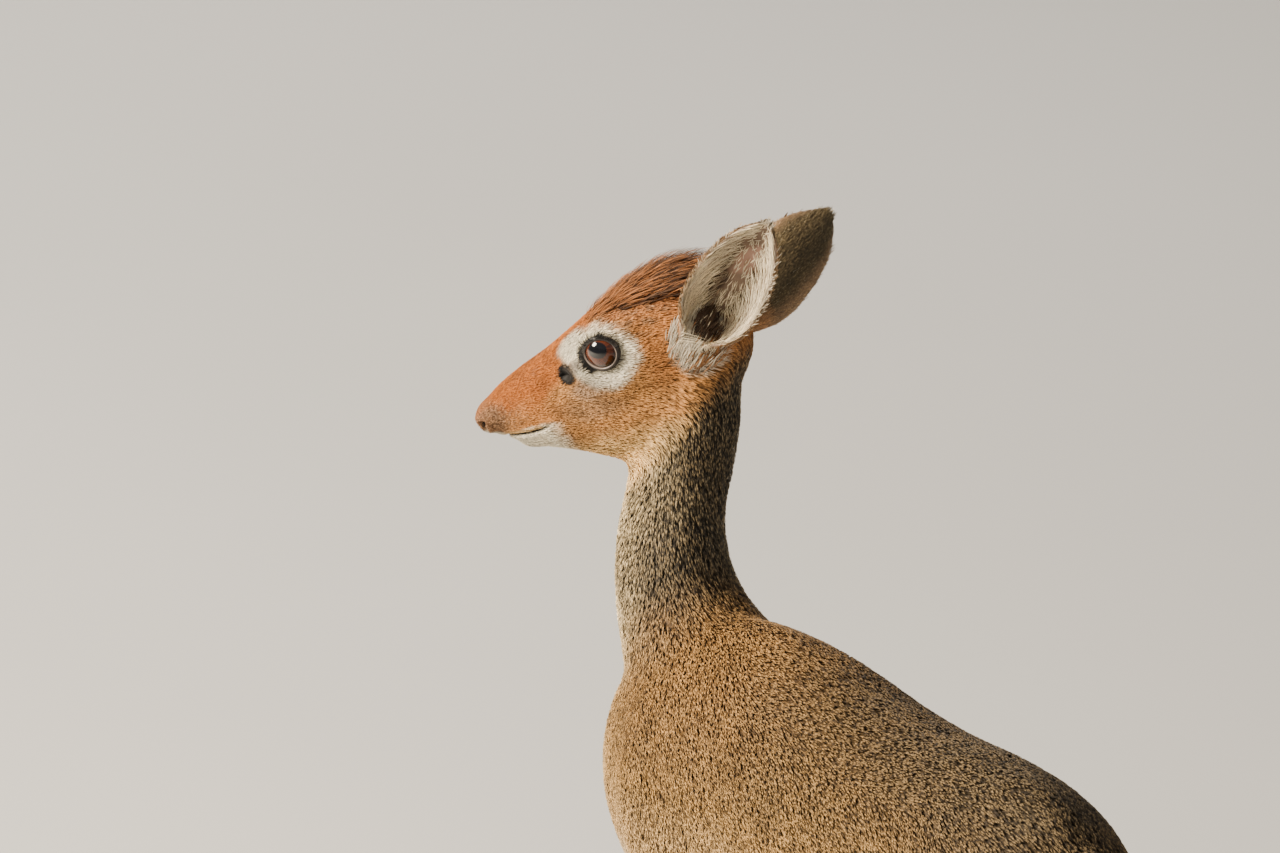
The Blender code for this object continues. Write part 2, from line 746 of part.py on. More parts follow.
def finish_node(obj, name, slot, parts):
    """Moves a finished solid into the parts collection under its node name, with its material."""
    mesh = obj.data.copy()
    made = bpy.data.objects.new(name, mesh)
    mesh.name = name
    mesh.materials.clear()
    mesh.materials.append(principled(slot))
    parts.objects.link(made)
    mesh.shade_smooth()
    mesh.set_sharp_from_angle(angle=math.radians(50))
    return made


def cut_faces(forward_point, back_point, across):
    """A plane through two points and a sideways direction, as a point and its unit normal."""
    normal = (forward_point - back_point).cross(across).normalized()
    return (forward_point + back_point) / 2, normal


def centre_over_origin(parts):
    """Moves the whole animal sideways so that its bounding box stands centred on the origin."""
    corners = [v.co for obj in parts.objects for v in obj.data.vertices]
    middle = [(min(c[k] for c in corners) + max(c[k] for c in corners)) / 2 for k in (0, 1)]
    for obj in parts.objects:
        obj.data.transform(Matrix.Translation((-middle[0], -middle[1], 0)))


def build():
    """Builds every form, fuses and parts the body, and files each solid under its node name."""
    clear_scene()
    parts = make_collection("dik_dik")
    raw = make_collection("raw_forms", hidden=True)

    trunk, limbs, head = trunk_forms(raw), limb_forms(raw), head_forms(raw)
    body = fused("body", trunk + limbs + head, BODY_VOXEL, 8, 4400, raw)
    fine = fused("fine_head", [trunk[1]] + head, HEAD_VOXEL, 13, 3800, raw)

    # The cut between head and neck runs from the throat up to the nape.
    place = head_matrix()
    throat, nape = place @ (Vector((66, 0, -58)) * MM), place @ (Vector((-20, 0, -14)) * MM)
    left = head_axes()[1]
    middle, normal = cut_faces(throat, nape, left)
    nose = place @ (Vector((120, 0, 0)) * MM)
    if (nose - middle).dot(normal) < 0:
        normal = -normal
    face = half(fine, middle + normal * GAP / 2, normal, "face", raw)
    rest = half(body, middle - normal * GAP / 2, -normal, "rest", raw)

    # The cut between neck and trunk runs from the withers forward and down to the chest.
    crown, chest = Vector((22, 0, 372)) * MM, Vector((-66, 0, 306)) * MM
    middle, normal = cut_faces(chest, crown, Vector((0, 1, 0)))
    if normal.z < 0:
        normal = -normal
    neck = half(rest, middle + normal * GAP / 2, normal, "neck_raw", raw)
    frame = half(rest, middle - normal * GAP / 2, -normal, "frame", raw)

    torso = frame
    for leg, side in STANCE:
        leg_solid = boolean(frame, leg_cell(leg, side, 0.0, raw), "INTERSECT", f"{leg}_{side}_whole", raw)
        torso = boolean(torso, leg_cell(leg, side, GAP / MM, raw), "DIFFERENCE", "trunk_cut", raw)
        joint_height = (FORE_PART_HEIGHT if leg == "fore" else HIND_PART_HEIGHT) * MM
        down = Vector((0, 0, -1))
        upper = half(leg_solid, Vector((0, 0, joint_height + GAP / 2)), -down, f"{leg}_{side}_upper", raw)
        lower = half(leg_solid, Vector((0, 0, joint_height - GAP / 2)), down, f"{leg}_{side}_lower", raw)
        lower = half(lower, Vector((0, 0, (HOOF_TOP * MM) + GAP)), -down, f"{leg}_{side}_shank", raw)
        for claw in dewclaws(leg, side, raw):
            lower = boolean(lower, claw, "UNION", f"{leg}_{side}_shank_claws", raw)
        finish_node(upper, f"{leg}_leg_upper_{side}", "leg_coat", parts)
        finish_node(lower, f"{leg}_leg_lower_{side}", "leg_coat", parts)
        for place, inner in (("inner", True), ("outer", False)):
            finish_node(hoof_claw(leg, side, inner, raw), f"hoof_{leg}_{side}_{place}", "hoof", parts)

    tail = boolean(tail_form(raw), inflated(torso, GAP, raw), "DIFFERENCE", "tail_cut", raw)

    for cutter in head_cutters(raw):
        face = boolean(face, cutter, "DIFFERENCE", "face_cut", raw)
    sleeve = inflated(face, GAP, raw)
    face = union_all(face, crest_forms(raw), "face_crested", raw)
    for side in SIDES:
        shell = boolean(ear(side, raw), sleeve, "DIFFERENCE", "ear_cut_" + side, raw)
        finish_node(shell, "ear_" + side, "ear_coat", parts)
        eye_at = (EYE_CENTRE[0], EYE_CENTRE[1] * -SIDES[side], EYE_CENTRE[2])
        eye = to_body(ellipsoid("ball_" + side, eye_at, (EYE_RADIUS,) * 3, raw, segments=20))
        finish_node(eye, "eye_" + side, "eye", parts)

    finish_node(face, "head", "face_coat", parts)
    finish_node(neck, "neck", "neck_coat", parts)
    finish_node(torso, "torso", "body_coat", parts)
    finish_node(tail, "tail", "body_coat", parts)
    for obj in list(raw.objects):
        bpy.data.objects.remove(obj)
    centre_over_origin(parts)


build()
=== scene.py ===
"""A life-size dik-dik, standing still as a museum model, dressed over its solids.

The body faces -X with its left side at -Y, and the head is turned to its left. One skin covers every
part of flesh but the ears, which are thin shells of their own, and a coat of mesh tufts lies over both.
Tables and sizes are in millimetres unless a name says otherwise; meshes are in metres.
"""
import logging
import math
from collections.abc import Iterator
from contextlib import contextmanager
from dataclasses import dataclass
from enum import Enum
from itertools import product

import bmesh
import bpy
import numpy as np
from mathutils import Matrix, Vector
from mathutils.bvhtree import BVHTree


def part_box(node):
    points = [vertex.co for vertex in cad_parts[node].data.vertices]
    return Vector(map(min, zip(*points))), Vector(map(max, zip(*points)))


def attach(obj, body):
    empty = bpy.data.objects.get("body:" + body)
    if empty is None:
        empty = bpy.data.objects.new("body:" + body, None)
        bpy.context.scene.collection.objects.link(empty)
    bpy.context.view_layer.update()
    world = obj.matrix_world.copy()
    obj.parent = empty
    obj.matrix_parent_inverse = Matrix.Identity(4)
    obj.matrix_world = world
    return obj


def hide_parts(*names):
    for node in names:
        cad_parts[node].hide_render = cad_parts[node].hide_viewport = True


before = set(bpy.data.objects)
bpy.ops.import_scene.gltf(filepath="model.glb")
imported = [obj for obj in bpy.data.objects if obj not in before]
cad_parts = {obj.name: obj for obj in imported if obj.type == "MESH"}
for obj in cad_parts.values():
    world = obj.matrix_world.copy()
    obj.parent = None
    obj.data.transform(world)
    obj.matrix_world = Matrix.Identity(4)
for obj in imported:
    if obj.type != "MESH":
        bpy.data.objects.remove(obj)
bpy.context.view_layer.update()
LOG = logging.getLogger("dik_dik")
MM = 0.001
Array = np.ndarray
Mesh = bpy.types.Mesh
Object = bpy.types.Object
Socket = bpy.types.NodeSocket

LEGS = ("fore", "hind")
SIDES = ("left", "right")
FLESH = ["torso", "neck", "head", "tail"] + [
    f"{leg}_leg_{part}_{side}" for leg in LEGS for part in ("upper", "lower") for side in SIDES
]


class Region(Enum):
    """The parts of the coat, each with a piece or more of its own."""

    FACE = "face_coat"
    NECK = "neck_coat"
    BODY = "body_coat"
    LEG = "leg_coat"


def smooth_step(value: Array, low: float, high: float) -> Array:
    """0 below low, 1 above high and a smooth rise between; the other way round where high is less."""
    share = np.clip((value - low) / (high - low), 0.0, 1.0)
    return share * share * (3 - 2 * share)


def unit(vectors: Array) -> Array:
    """The rows of an array, each made one long."""
    return vectors / np.maximum(np.linalg.norm(vectors, axis=1, keepdims=True), 1e-9)


def wobble(points: Array, size: float, seed: int) -> Array:
    """A smooth random swell over space, about -1 to 1, with waves of a given size."""
    rng = np.random.default_rng(seed)
    total = np.zeros(len(points))
    for _ in range(6):
        way = rng.normal(size=3)
        way /= np.linalg.norm(way)
        total += np.sin(points @ way * math.tau / (size * rng.uniform(0.7, 1.5)) + rng.uniform(0, math.tau))
    return total / 3.2


def reach(points: Array, centre: tuple, radii: tuple = (1, 1, 1)) -> Array:
    """How far points lie from a centre, with each axis measured by its own radius."""
    return np.linalg.norm((points - np.array(centre)) / np.array(radii), axis=1)


def inside(points: Array, centre: tuple, radii: tuple, soft: float = 0.3) -> Array:
    """1 inside an ellipsoid, fading to 0 across its border by the soft share."""
    return smooth_step(reach(points, centre, radii), 1 + soft, 1 - soft)


def add_mounds(rise: Array, points: Array, mounds: tuple) -> None:
    """Adds soft mounds and hollows to heights in place: rows of centre, radii, height and softness."""
    for centre, radii, height, soft in mounds:
        rise += height * inside(points, centre, radii, soft)


def bell(value: Array, centre: float, width: float) -> Array:
    """A smooth peak of 1 at a centre."""
    return np.exp(-(((value - centre) / width) ** 2))


def moved(points: Array, ways: Array, far: Array) -> Array:
    """Points moved along directions by some millimetres."""
    return points + ways * (far * MM)[:, None]


def along_skin(ways: Array, normals: Array) -> Array:
    """Directions laid flat on the skin, each made one long."""
    return unit(ways - normals * (ways * normals).sum(1, keepdims=True))


def ramp(value: Array, stops: list, tones: list) -> Array:
    """Colours read between stops, as rows of red, green and blue."""
    return np.stack([np.interp(value, stops, [tone[k] for tone in tones]) for k in range(3)], 1)


def path_distance(points: Array, path: list) -> Array:
    """The distance of each point to a path of straight runs, in as many dimensions as both have."""
    best = np.full(len(points), 1e9)
    for first, last in zip(path, path[1:]):
        start, run = np.array(first, float), np.array(last, float) - np.array(first, float)
        along = np.clip((points - start) @ run / (run @ run), 0.0, 1.0)
        best = np.minimum(best, np.linalg.norm(points - start - along[:, None] * run, axis=1))
    return best


@dataclass(frozen=True)
class HeadFrame:
    """The head's own frame, found from the two eyes: forward to the nose, left and up, in millimetres."""

    pitch: float = math.radians(24.5)
    eye_forward: float = 42.0
    eye_out: float = 20.5
    eye_rise: float = 12.6
    origin_in_body: tuple = (-42.0, 17.0, 496.0)

    def eye(self, side: str) -> Vector:
        """The centre of an eyeball, in metres."""
        low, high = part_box("eye_" + side)
        return (low + high) / 2

    def axes(self) -> Matrix:
        """Columns forward, left and up, in the shared frame."""
        left = (self.eye("left") - self.eye("right")).normalized()
        level = left.cross(Vector((0, 0, 1)))
        forward = level * math.cos(self.pitch) - Vector((0, 0, 1)) * math.sin(self.pitch)
        return Matrix((forward, left, forward.cross(left))).transposed()

    def origin(self) -> Vector:
        """The head frame's origin in metres."""
        middle = (self.eye("left") + self.eye("right")) / 2
        return middle - self.axes() @ Vector((self.eye_forward, 0, self.eye_rise)) * MM

    def shift(self) -> Vector:
        """From the body's own frame to the shared frame, in metres."""
        return self.origin() - Vector(self.origin_in_body) * MM

    def to_head(self, points: Array) -> Array:
        """Shared metres to head millimetres."""
        return (points - np.array(self.origin())) @ np.array(self.axes()) / MM

    def from_head(self, points: Array) -> Array:
        """Head millimetres to shared metres."""
        return points @ np.array(self.axes()).T * MM + np.array(self.origin())

    def turn_from_head(self, ways: Array) -> Array:
        """Directions in the head's frame to the shared frame."""
        return ways @ np.array(self.axes()).T

    def to_body(self, points: Array) -> Array:
        """Shared metres to body millimetres."""
        return (points - np.array(self.shift())) / MM


HEAD = HeadFrame()
EYE_SPOT = np.array((HEAD.eye_forward, HEAD.eye_out, HEAD.eye_rise))
# The groove between the lips, seen from the side: forward, up
MOUTH_PATH = [(90.5, -16.6), (95, -17.1), (101, -16.8), (107, -16.1), (112, -15.4), (116, -16.2),
              (121, -17.0)]
NOSTRIL = (122.9, 5.9, -6.6)
GLAND = (68.5, 21.0, 6.4)
# The crown's outline without its crest: forward, top, half width, height of the widest point
CROWN = np.array([
    (-25, 16, 9, 4), (-20, 25, 18, 5), (-10, 32, 23, 6), (4, 36.5, 25.5, 7), (18, 37.5, 26.5, 8),
    (32, 35, 27.5, 9), (44, 31, 27.5, 9), (56, 26.5, 24.5, 6), (67, 22, 20.5, 2),
])


@dataclass(frozen=True)
class LidShape:
    """The almond between the lids, as angles on the eyeball about the opening's own axis."""

    half_long: float = 0.82
    half_high: float = 0.74
    tilt: float = 0.05
    ball: float = 10.6
    axis: tuple = (0.11, 0.99, -0.01)

    def basis(self) -> Array:
        """Rows forward, out and up of the left eye's opening, in the head's frame."""
        out = np.array(self.axis) / np.linalg.norm(self.axis)
        forward = np.array((math.cos(self.tilt), 0.0, math.sin(self.tilt)))
        forward -= out * (forward @ out)
        forward /= np.linalg.norm(forward)
        return np.stack([forward, out, np.cross(forward, out)])

    def measure(self, head: Array) -> tuple[Array, Array]:
        """How far points of the head lie from the opening's axis, as a share of its edge, and which way."""
        spot = (mirrored(head) - EYE_SPOT) @ self.basis().T
        away = np.linalg.norm(spot, axis=1)
        angle = np.arccos(np.clip(spot[:, 1] / np.maximum(away, 1e-6), -1, 1))
        turn = np.arctan2(spot[:, 2], spot[:, 0])
        return angle / self.edge(turn), turn

    def ratio(self, head: Array) -> Array:
        """The first of what measure finds."""
        return self.measure(head)[0]

    def bare(self, head: Array) -> Array:
        """1 on the black rim round the opening, widest at the front corner, and 0 on the fur."""
        ratio, turn = self.measure(head)
        border = 1.29 + 0.30 * np.maximum(np.cos(turn - 0.15), 0) ** 3 + 0.06 * np.maximum(np.sin(turn), 0)
        near = np.linalg.norm(mirrored(head) - EYE_SPOT, axis=1)
        return smooth_step(ratio / border, 1.05, 0.95) * smooth_step(near, 17, 15)

    def edge(self, turn: Array) -> Array:
        """The almond's half angle in a direction; its front corner, at turn 0, is drawn out."""
        oval = 1 / np.sqrt((np.cos(turn) / self.half_long) ** 2 + (np.sin(turn) / self.half_high) ** 2)
        return oval * (1 + 0.15 * np.maximum(np.cos(turn), 0) ** 6)

    def place(self, turn: Array, angle: Array, radius: Array, side: str) -> Array:
        """Points round the eyeball, in head millimetres."""
        flat = np.sin(angle) * radius
        out = np.stack([flat * np.cos(turn), np.cos(angle) * radius, flat * np.sin(turn)], 1)
        out = out @ self.basis() + EYE_SPOT
        if side == "right":
            out[:, 1] *= -1
        return out


def mirrored(points: Array) -> Array:
    """Points with their sideways value made positive, so that both sides read one table."""
    out = points.copy()
    out[:, 1] = np.abs(out[:, 1])
    return out


LIDS = LidShape()


@dataclass(frozen=True)
class Lie:
    """How the coat lies: places, each with its direction, tuft length, width, lift and skin depth."""

    shorter: float = 0.98
    finer: float = 0.92
    # Body: x, outwards, z; direction; length, width, lift, depth
    body: tuple = (
        (-44, 24, 470, 0.05, 0, -1, 6.1, 0.8, 1.5, 1.6), (-18, 3, 470, 0.15, 0, -1, 6.8, 0.8, 1.6, 1.8),
        (-70, 5, 450, 0.05, 0, -1, 6.1, 0.8, 1.4, 1.6), (-44, 25, 415, 0.02, 0, -1, 6.1, 0.84, 1.6, 1.8),
        (-16, 0, 410, 0.1, 0, -1, 6.8, 0.84, 1.7, 1.9), (-70, 0, 410, 0, 0, -1, 6.1, 0.84, 1.5, 1.8),
        (-36, 30, 365, 0.15, 0, -1, 5.6, 0.81, 1.6, 1.9), (8, 0, 368, 0.8, 0, -0.6, 6.3, 0.74, 1.6, 2.0),
        (-62, 0, 350, -0.05, 0, -1, 6.3, 0.81, 1.6, 1.8), (-61, 0, 290, 0.1, 0, -1, 6.3, 0.81, 1.6, 1.8),
        (100, 0, 368, 1, 0, -0.02, 6.3, 0.81, 1.6, 2.0), (200, 0, 360, 1, 0, 0.02, 6.3, 0.81, 1.6, 2.0),
        (285, 0, 357, 1, 0, -0.15, 6.3, 0.81, 1.6, 2.0), (332, 12, 322, 0.6, 0, -0.8, 5.6, 0.74, 1.5, 1.8),
        (30, 44, 335, 0.75, 0.1, -0.65, 4.9, 0.74, 1.5, 2.0),
        (100, 56, 300, 0.88, 0, -0.45, 5.3, 0.74, 1.5, 2.0),
        (200, 60, 300, 0.92, 0, -0.4, 5.3, 0.74, 1.5, 2.0),
        (110, 45, 230, 0.92, 0, -0.35, 5.6, 0.81, 1.6, 1.8),
        (200, 45, 235, 0.95, 0, -0.25, 5.6, 0.81, 1.6, 1.8), (100, 0, 208, 1, 0, 0, 6.3, 0.84, 1.8, 1.6),
        (200, 0, 214, 1, 0, 0.1, 6.3, 0.84, 1.8, 1.6), (15, 52, 290, 0.5, 0, -0.85, 4.9, 0.74, 1.4, 1.8),
        (30, 50, 240, 0.3, 0, -0.95, 4.9, 0.74, 1.3, 1.4), (-45, 15, 240, 0.5, 0, -0.8, 5.6, 0.81, 1.5, 1.6),
        (268, 54, 300, 0.8, 0, -0.6, 5.3, 0.74, 1.5, 1.8), (285, 48, 255, 0.6, 0, -0.8, 4.9, 0.74, 1.3, 1.5),
        (318, 30, 280, 0.45, 0, -0.9, 5.6, 0.74, 1.4, 1.6),
        (285, 38, 205, 0.5, 0, -0.86, 4.2, 0.64, 1.0, 1.0),
        (40, 36, 190, 0, 0, -1, 6, 0.9, 0.9, 0.9), (38, 32, 134, 0, 0, -1, 4.6, 0.75, 0.6, 0.5),
        (39, 31, 80, 0, 0, -1, 4.6, 0.75, 0.6, 0.45), (34, 30, 30, -0.35, 0, -0.93, 4.2, 0.7, 0.6, 0.4),
        (31, 30, 17, -0.25, 0, -0.97, 4.4, 0.7, 0.6, 0.3), (324, 36, 168, 0.2, 0, -0.98, 5, 0.8, 0.7, 0.6),
        (324, 35, 90, 0, 0, -1, 4.6, 0.75, 0.6, 0.45), (315, 34, 30, -0.35, 0, -0.93, 4.2, 0.7, 0.6, 0.4),
        (311, 34, 17, -0.25, 0, -0.97, 4.4, 0.7, 0.6, 0.3), (350, 4, 322, 0.35, 0, -0.94, 8, 0.88, 1.6, 1.8),
        (352, 2, 288, 0.05, 0, -1, 9.6, 0.8, 1.2, 1.6),
    )
    # Head: forward, outwards, up, and the rest as above
    head: tuple = (
        (126, 0, -4, -0.5, 0.1, 0.85, 1.8, 0.36, 0.3, 0.3),
        (124, 4, -12, -0.8, 0.3, -0.4, 2.0, 0.36, 0.3, 0.3),
        (117, 9, -4, -1, 0.15, 0.15, 2.4, 0.42, 0.35, 0.35), (104, 0, 11, -1, 0, 0.2, 2.8, 0.46, 0.4, 0.5),
        (98, 12, -8, -1, 0.1, -0.05, 3.0, 0.48, 0.4, 0.5),
        (104, 9, -15, -0.95, 0.1, -0.3, 2.2, 0.38, 0.35, 0.4),
        (98, 0, -28, -1, 0, 0.1, 3.2, 0.48, 0.5, 0.5), (88, 11, -25, -1, 0, -0.05, 3.4, 0.5, 0.5, 0.5),
        (75, 0, 20, -1, 0, 0.1, 3.8, 0.52, 0.5, 0.6), (78, 16, 4, -1, 0.15, 0.05, 3.4, 0.5, 0.5, 0.6),
        (70, 14, -40, -1, 0, -0.05, 4.6, 0.6, 0.7, 0.8), (72, 19, -20, -1, 0.05, -0.2, 4.2, 0.56, 0.6, 0.8),
        (56, 13, 26, -1, 0.15, 0.1, 4.4, 0.56, 0.7, 0.8), (60, 21, 14, -0.9, 0.2, 0.35, 3.0, 0.46, 0.5, 0.5),
        (44, 24, 27, -1, 0.05, 0.1, 3.6, 0.5, 0.6, 0.6), (46, 28, -2, -0.9, 0, -0.4, 3.4, 0.48, 0.5, 0.6),
        (22, 28, 12, -1, 0, -0.05, 4.4, 0.54, 0.7, 0.8), (40, 26, -26, -0.9, 0, -0.45, 5.2, 0.66, 0.9, 1.0),
        (12, 25, -30, -0.7, 0, -0.7, 6.2, 0.8, 1.1, 1.2), (30, 0, 36, -1, 0, 0.05, 6.5, 0.6, 1.0, 0.9),
        (5, 0, 37, -1, 0, -0.1, 8, 0.7, 1.2, 0.9), (-16, 0, 28, -0.7, 0, -0.7, 9, 0.9, 1.4, 1.2),
        (-4, 23, 4, -0.7, 0.1, -0.6, 6, 0.7, 1.0, 1.0), (40, 0, -52, -1, 0, -0.15, 6, 0.8, 1.0, 1.0),
        (5, 10, -45, -0.6, 0, -0.8, 7, 0.9, 1.2, 1.4),
    )

    def read(self, points: Array) -> tuple[Array, Array]:
        """The lie and sizes at some places.

        Args:
            points: places in shared metres.

        Returns:
            Unit directions, and an array of length, width, lift and depth in millimetres.
        """
        body, head = HEAD.to_body(points), HEAD.to_head(points)
        body_way, body_sizes = self._blend(body, self.body, 16.0)
        head_way, head_sizes = self._blend(head, self.head, 7.0)
        share = head_share(head)[:, None]
        ways = body_way * (1 - share) + HEAD.turn_from_head(head_way) * share
        sizes = body_sizes * (1 - share) + head_sizes * share
        return unit(ways), sizes * np.array((self.shorter, self.finer, 1.0, 1.0))

    @staticmethod
    def _blend(points: Array, table: tuple, softness: float) -> tuple[Array, Array]:
        """Blends a table's rows by their nearness, on both sides alike."""
        rows = np.array(table, float)
        near = mirrored(points)
        weights = np.zeros((len(points), len(rows)))
        for i, row in enumerate(rows):
            gap = ((near - row[:3]) ** 2).sum(1)
            weights[:, i] = 1 / (gap + softness**2) ** 3
        weights /= weights.sum(1, keepdims=True)
        values = weights @ rows[:, 3:]
        ways = values[:, :3]
        ways[:, 1] *= np.sign(points[:, 1] + 1e-9)
        return ways, values[:, 3:]


def head_share(head: Array) -> Array:
    """1 on the head and 0 on the neck, across the line from the throat's corner to the nape."""
    along = np.array((-86.0, 44.0)) / math.hypot(86.0, 44.0)
    beyond = (head[:, 0] - 66) * along[1] - (head[:, 2] + 58) * along[0]
    return smooth_step(beyond, -9, 9)


@dataclass(frozen=True)
class Markings:
    """The coat's colours over the whole animal, painted shade included, as smooth patches in the body's and
    head's frames.
    """

    # Spine and back: the coat's own darker top, deepened with painted shade where the back turns away from
    # the light.
    spine_and_shade: tuple = (0.078, 0.050, 0.023)
    back: tuple = (0.142, 0.078, 0.024)
    flank: tuple = (0.285, 0.160, 0.048)
    low_flank: tuple = (0.41, 0.262, 0.112)
    belly: tuple = (0.66, 0.54, 0.37)
    shoulder: tuple = (0.275, 0.138, 0.038)
    chest: tuple = (0.46, 0.315, 0.145)
    # Rump: its own darker tone, deepened with painted shade where it turns away from the light.
    rump_and_shade: tuple = (0.070, 0.051, 0.027)
    throat: tuple = (0.64, 0.515, 0.305)
    neck: tuple = (0.27, 0.208, 0.115)
    # Nape: its own darker tone, deepened with painted shade on the neck's side away from the light.
    nape: tuple = (0.088, 0.069, 0.042)
    leg: tuple = (0.42, 0.235, 0.108)
    leg_inner: tuple = (0.55, 0.42, 0.28)
    foot: tuple = (0.17, 0.105, 0.065)
    cheek: tuple = (0.49, 0.222, 0.062)
    jaw: tuple = (0.82, 0.510, 0.195)
    rufous: tuple = (0.42, 0.120, 0.016)
    crown: tuple = (0.34, 0.118, 0.032)
    temple: tuple = (0.48, 0.185, 0.046)
    nose: tuple = (0.28, 0.148, 0.078)
    white: tuple = (0.89, 0.81, 0.62)
    grey: tuple = (0.25, 0.215, 0.18)
    dusk: tuple = (0.22, 0.130, 0.075)
    black: tuple = (0.012, 0.010, 0.009)
    # Painted shade: nearly black for the floor of each ear's cup.
    ear_hollow_shade: tuple = (0.045, 0.030, 0.022)
    ear_root: tuple = (0.72, 0.62, 0.47)

    def paint(self, points: Array) -> Array:
        """Colour and strength of ticking at some places in shared metres, as rows of four."""
        body, head = HEAD.to_body(points), HEAD.to_head(points)
        share = head_share(head + wobble(head, 14, 3)[:, None] * 2)[:, None]
        return self._body(body) * (1 - share) + self._head(head) * share

    @staticmethod
    def lay(colour: Array, patch: tuple, ticking: float, mask: Array) -> None:
        """Lays one patch over the colours in place."""
        colour += (np.array((*patch, ticking)) - colour) * mask[:, None]

    def _body(self, body: Array) -> Array:
        """Trunk, neck, legs and tail."""
        uneven = body + wobble(body, 40, 1)[:, None] * 5
        x, z, out = uneven[:, 0], uneven[:, 2], np.abs(uneven[:, 1])
        height = np.clip((z - 208) / (362 - 208), 0, 1)
        # Pale belly up to a dark top; the darkest tones along the top are partly painted shade.
        tones = [self.belly, self.belly, self.low_flank, self.flank, self.back, self.spine_and_shade]
        ticks = np.interp(height, [0, 0.15, 0.35], [0.15, 0.5, 1.0])
        colour = np.column_stack([ramp(height, [0.0, 0.12, 0.3, 0.55, 0.82, 1.0], tones), ticks])
        # A dark patch over the hindquarters, partly painted shade.
        self.lay(colour, self.rump_and_shade, 1.0, 0.8 * inside(uneven, (290, 0, 352), (90, 62, 26), 0.9))
        self.lay(colour, self.shoulder, 0.9, 0.8 * inside(uneven, (22, 0, 345), (78, 72, 50), 0.6))
        self.lay(colour, self.leg, 0.35, smooth_step(z, 246, 188) * smooth_step(out, 18, 28))
        self.lay(colour, self.leg_inner, 0.15, smooth_step(z, 215, 190) * smooth_step(z, 40, 70)
                 * smooth_step(out - np.where(x > 180, 35.0, 32.0), 0.5, -4))
        self.lay(colour, self.foot, 0.3, smooth_step(z, 38, 20))
        self.lay(colour, self.chest, 0.8, 0.85 * smooth_step(x, -24, -58))
        under_tail = inside(body, (344, 0, 300), (8, 9, 30), 0.4) * smooth_step(x, 352, 345)
        self.lay(colour, self.white, 0.05, under_tail)
        # Neck: dark down the nape, its own tone deepened with painted shade, pale down the throat
        centre = np.interp(z, [330, 360, 384, 430, 480], [-8, -33, -40, -45, -43])
        depth = np.interp(z, [330, 360, 430, 480], [48, 33, 27.5, 26])
        back = (x - centre) / depth
        neck = smooth_step(z - back * 20, 328, 376) * smooth_step(x, 34, 10)
        tones = [self.throat, self.throat, self.neck, self.neck, self.nape, self.nape]
        coat = ramp(back, [-1.0, -0.75, -0.25, 0.15, 0.72, 1.0], tones)
        ticks = np.interp(back, [-1, -0.6, 0], [0.6, 0.9, 1.0])
        return colour + (np.column_stack([coat, ticks]) - colour) * neck[:, None]

    def _head(self, head: Array) -> Array:
        """Face, crown, jaw and muzzle."""
        uneven = mirrored(head + wobble(head, 16, 2)[:, None] * 1.2 + wobble(head, 6, 9)[:, None] * 0.7)
        x, out, up = uneven.T
        colour = np.tile(np.array((*self.cheek, 0.42)), (len(head), 1))
        self.lay(colour, self.temple, 0.45, smooth_step(x, 34, 20) * smooth_step(up, -22, -4))
        self.lay(colour, self.jaw, 0.25, smooth_step(up, -24, -40))
        line = np.interp(x, [35, 45, 58, 75, 95, 112], [27, 25, 17, 2, -7, -6])
        self.lay(colour, self.rufous, 0.22, smooth_step(up - line, -5, 5) * smooth_step(x, 30, 52))
        self.lay(colour, self.temple, 0.3, 0.75 * inside(uneven, (92, 8, -9), (20, 12, 8), 0.5))
        crown = smooth_step(x, 58, 34) * smooth_step(up, 16, 28)
        self.lay(colour, self.crown, 0.95, crown)
        self.lay(colour, self.black, 0.9, 0.55 * crown * smooth_step(x, 20, -8))
        self.lay(colour, self.nose, 0.85, 0.85 * inside(uneven, (119, 5, -6), (11, 9, 9), 0.4))
        # White round the eye, drawn out forward and up, and on the lips and chin
        ring = np.maximum(inside(uneven, (44.5, 22, 9.5), (18.5, 22, 15.0), 0.2),
                          inside(uneven, (60, 18, 18), (12, 12, 7.5), 0.3))
        self.lay(colour, self.white, 0.2, ring)
        self.lay(colour, self.grey, 0.6, 0.5 * inside(uneven, (58, 22, -3), (13, 12, 5), 0.5))
        self.lay(colour, self.dusk, 0.6, 0.55 * inside(uneven, (62, 20, -13), (18, 12, 7), 0.6))
        self.lay(colour, self.white, 0.05, smooth_step(up, -14.0, -17.0) * smooth_step(x, 80, 92))
        self.lay(colour, self.white, 0.1, 0.9 * inside(uneven, (120.5, 0, -14.5), (8, 10, 4.2), 0.3))
        lip = smooth_step(mouth_distance(head), 3.0, 1.6) * smooth_step(x, 90, 96) * smooth_step(x, 122, 114)
        self.lay(colour, self.jaw, 0.1, 0.85 * lip * (up > -17))
        # Dark bands across the side of the nose: painted shade in the creases of its folds.
        folds = 0.5 + 0.5 * np.sin(x * math.tau / 3.4 + up * 0.7)
        self.lay(colour, self.dusk, 0.4, 0.55 * folds * inside(uneven, (108, 11, -6), (9, 9, 7), 0.5))
        tufted = smooth_step(wobble(head, 7, 8), 0.0, 0.7)
        self.lay(colour, self.dusk, 0.7, 0.55 * tufted * inside(uneven, (20, 22, 22), (14, 9, 10), 0.6))
        # Bare black skin: gland, the line from it to the eye, lids, nostril and mouth
        straight = mirrored(head)
        streak = path_distance(straight[:, [0, 2]], [(66, 7.5), (60, 9.5), (54, 10.5)])
        beside = smooth_step(straight[:, 1], 12, 17)
        self.lay(colour, self.grey, 0.3, 0.8 * smooth_step(streak, 3.6, 1.4) * beside)
        self.lay(colour, self.black, 0.0, inside(straight, GLAND, (6.0, 9, 5.4), 0.18))
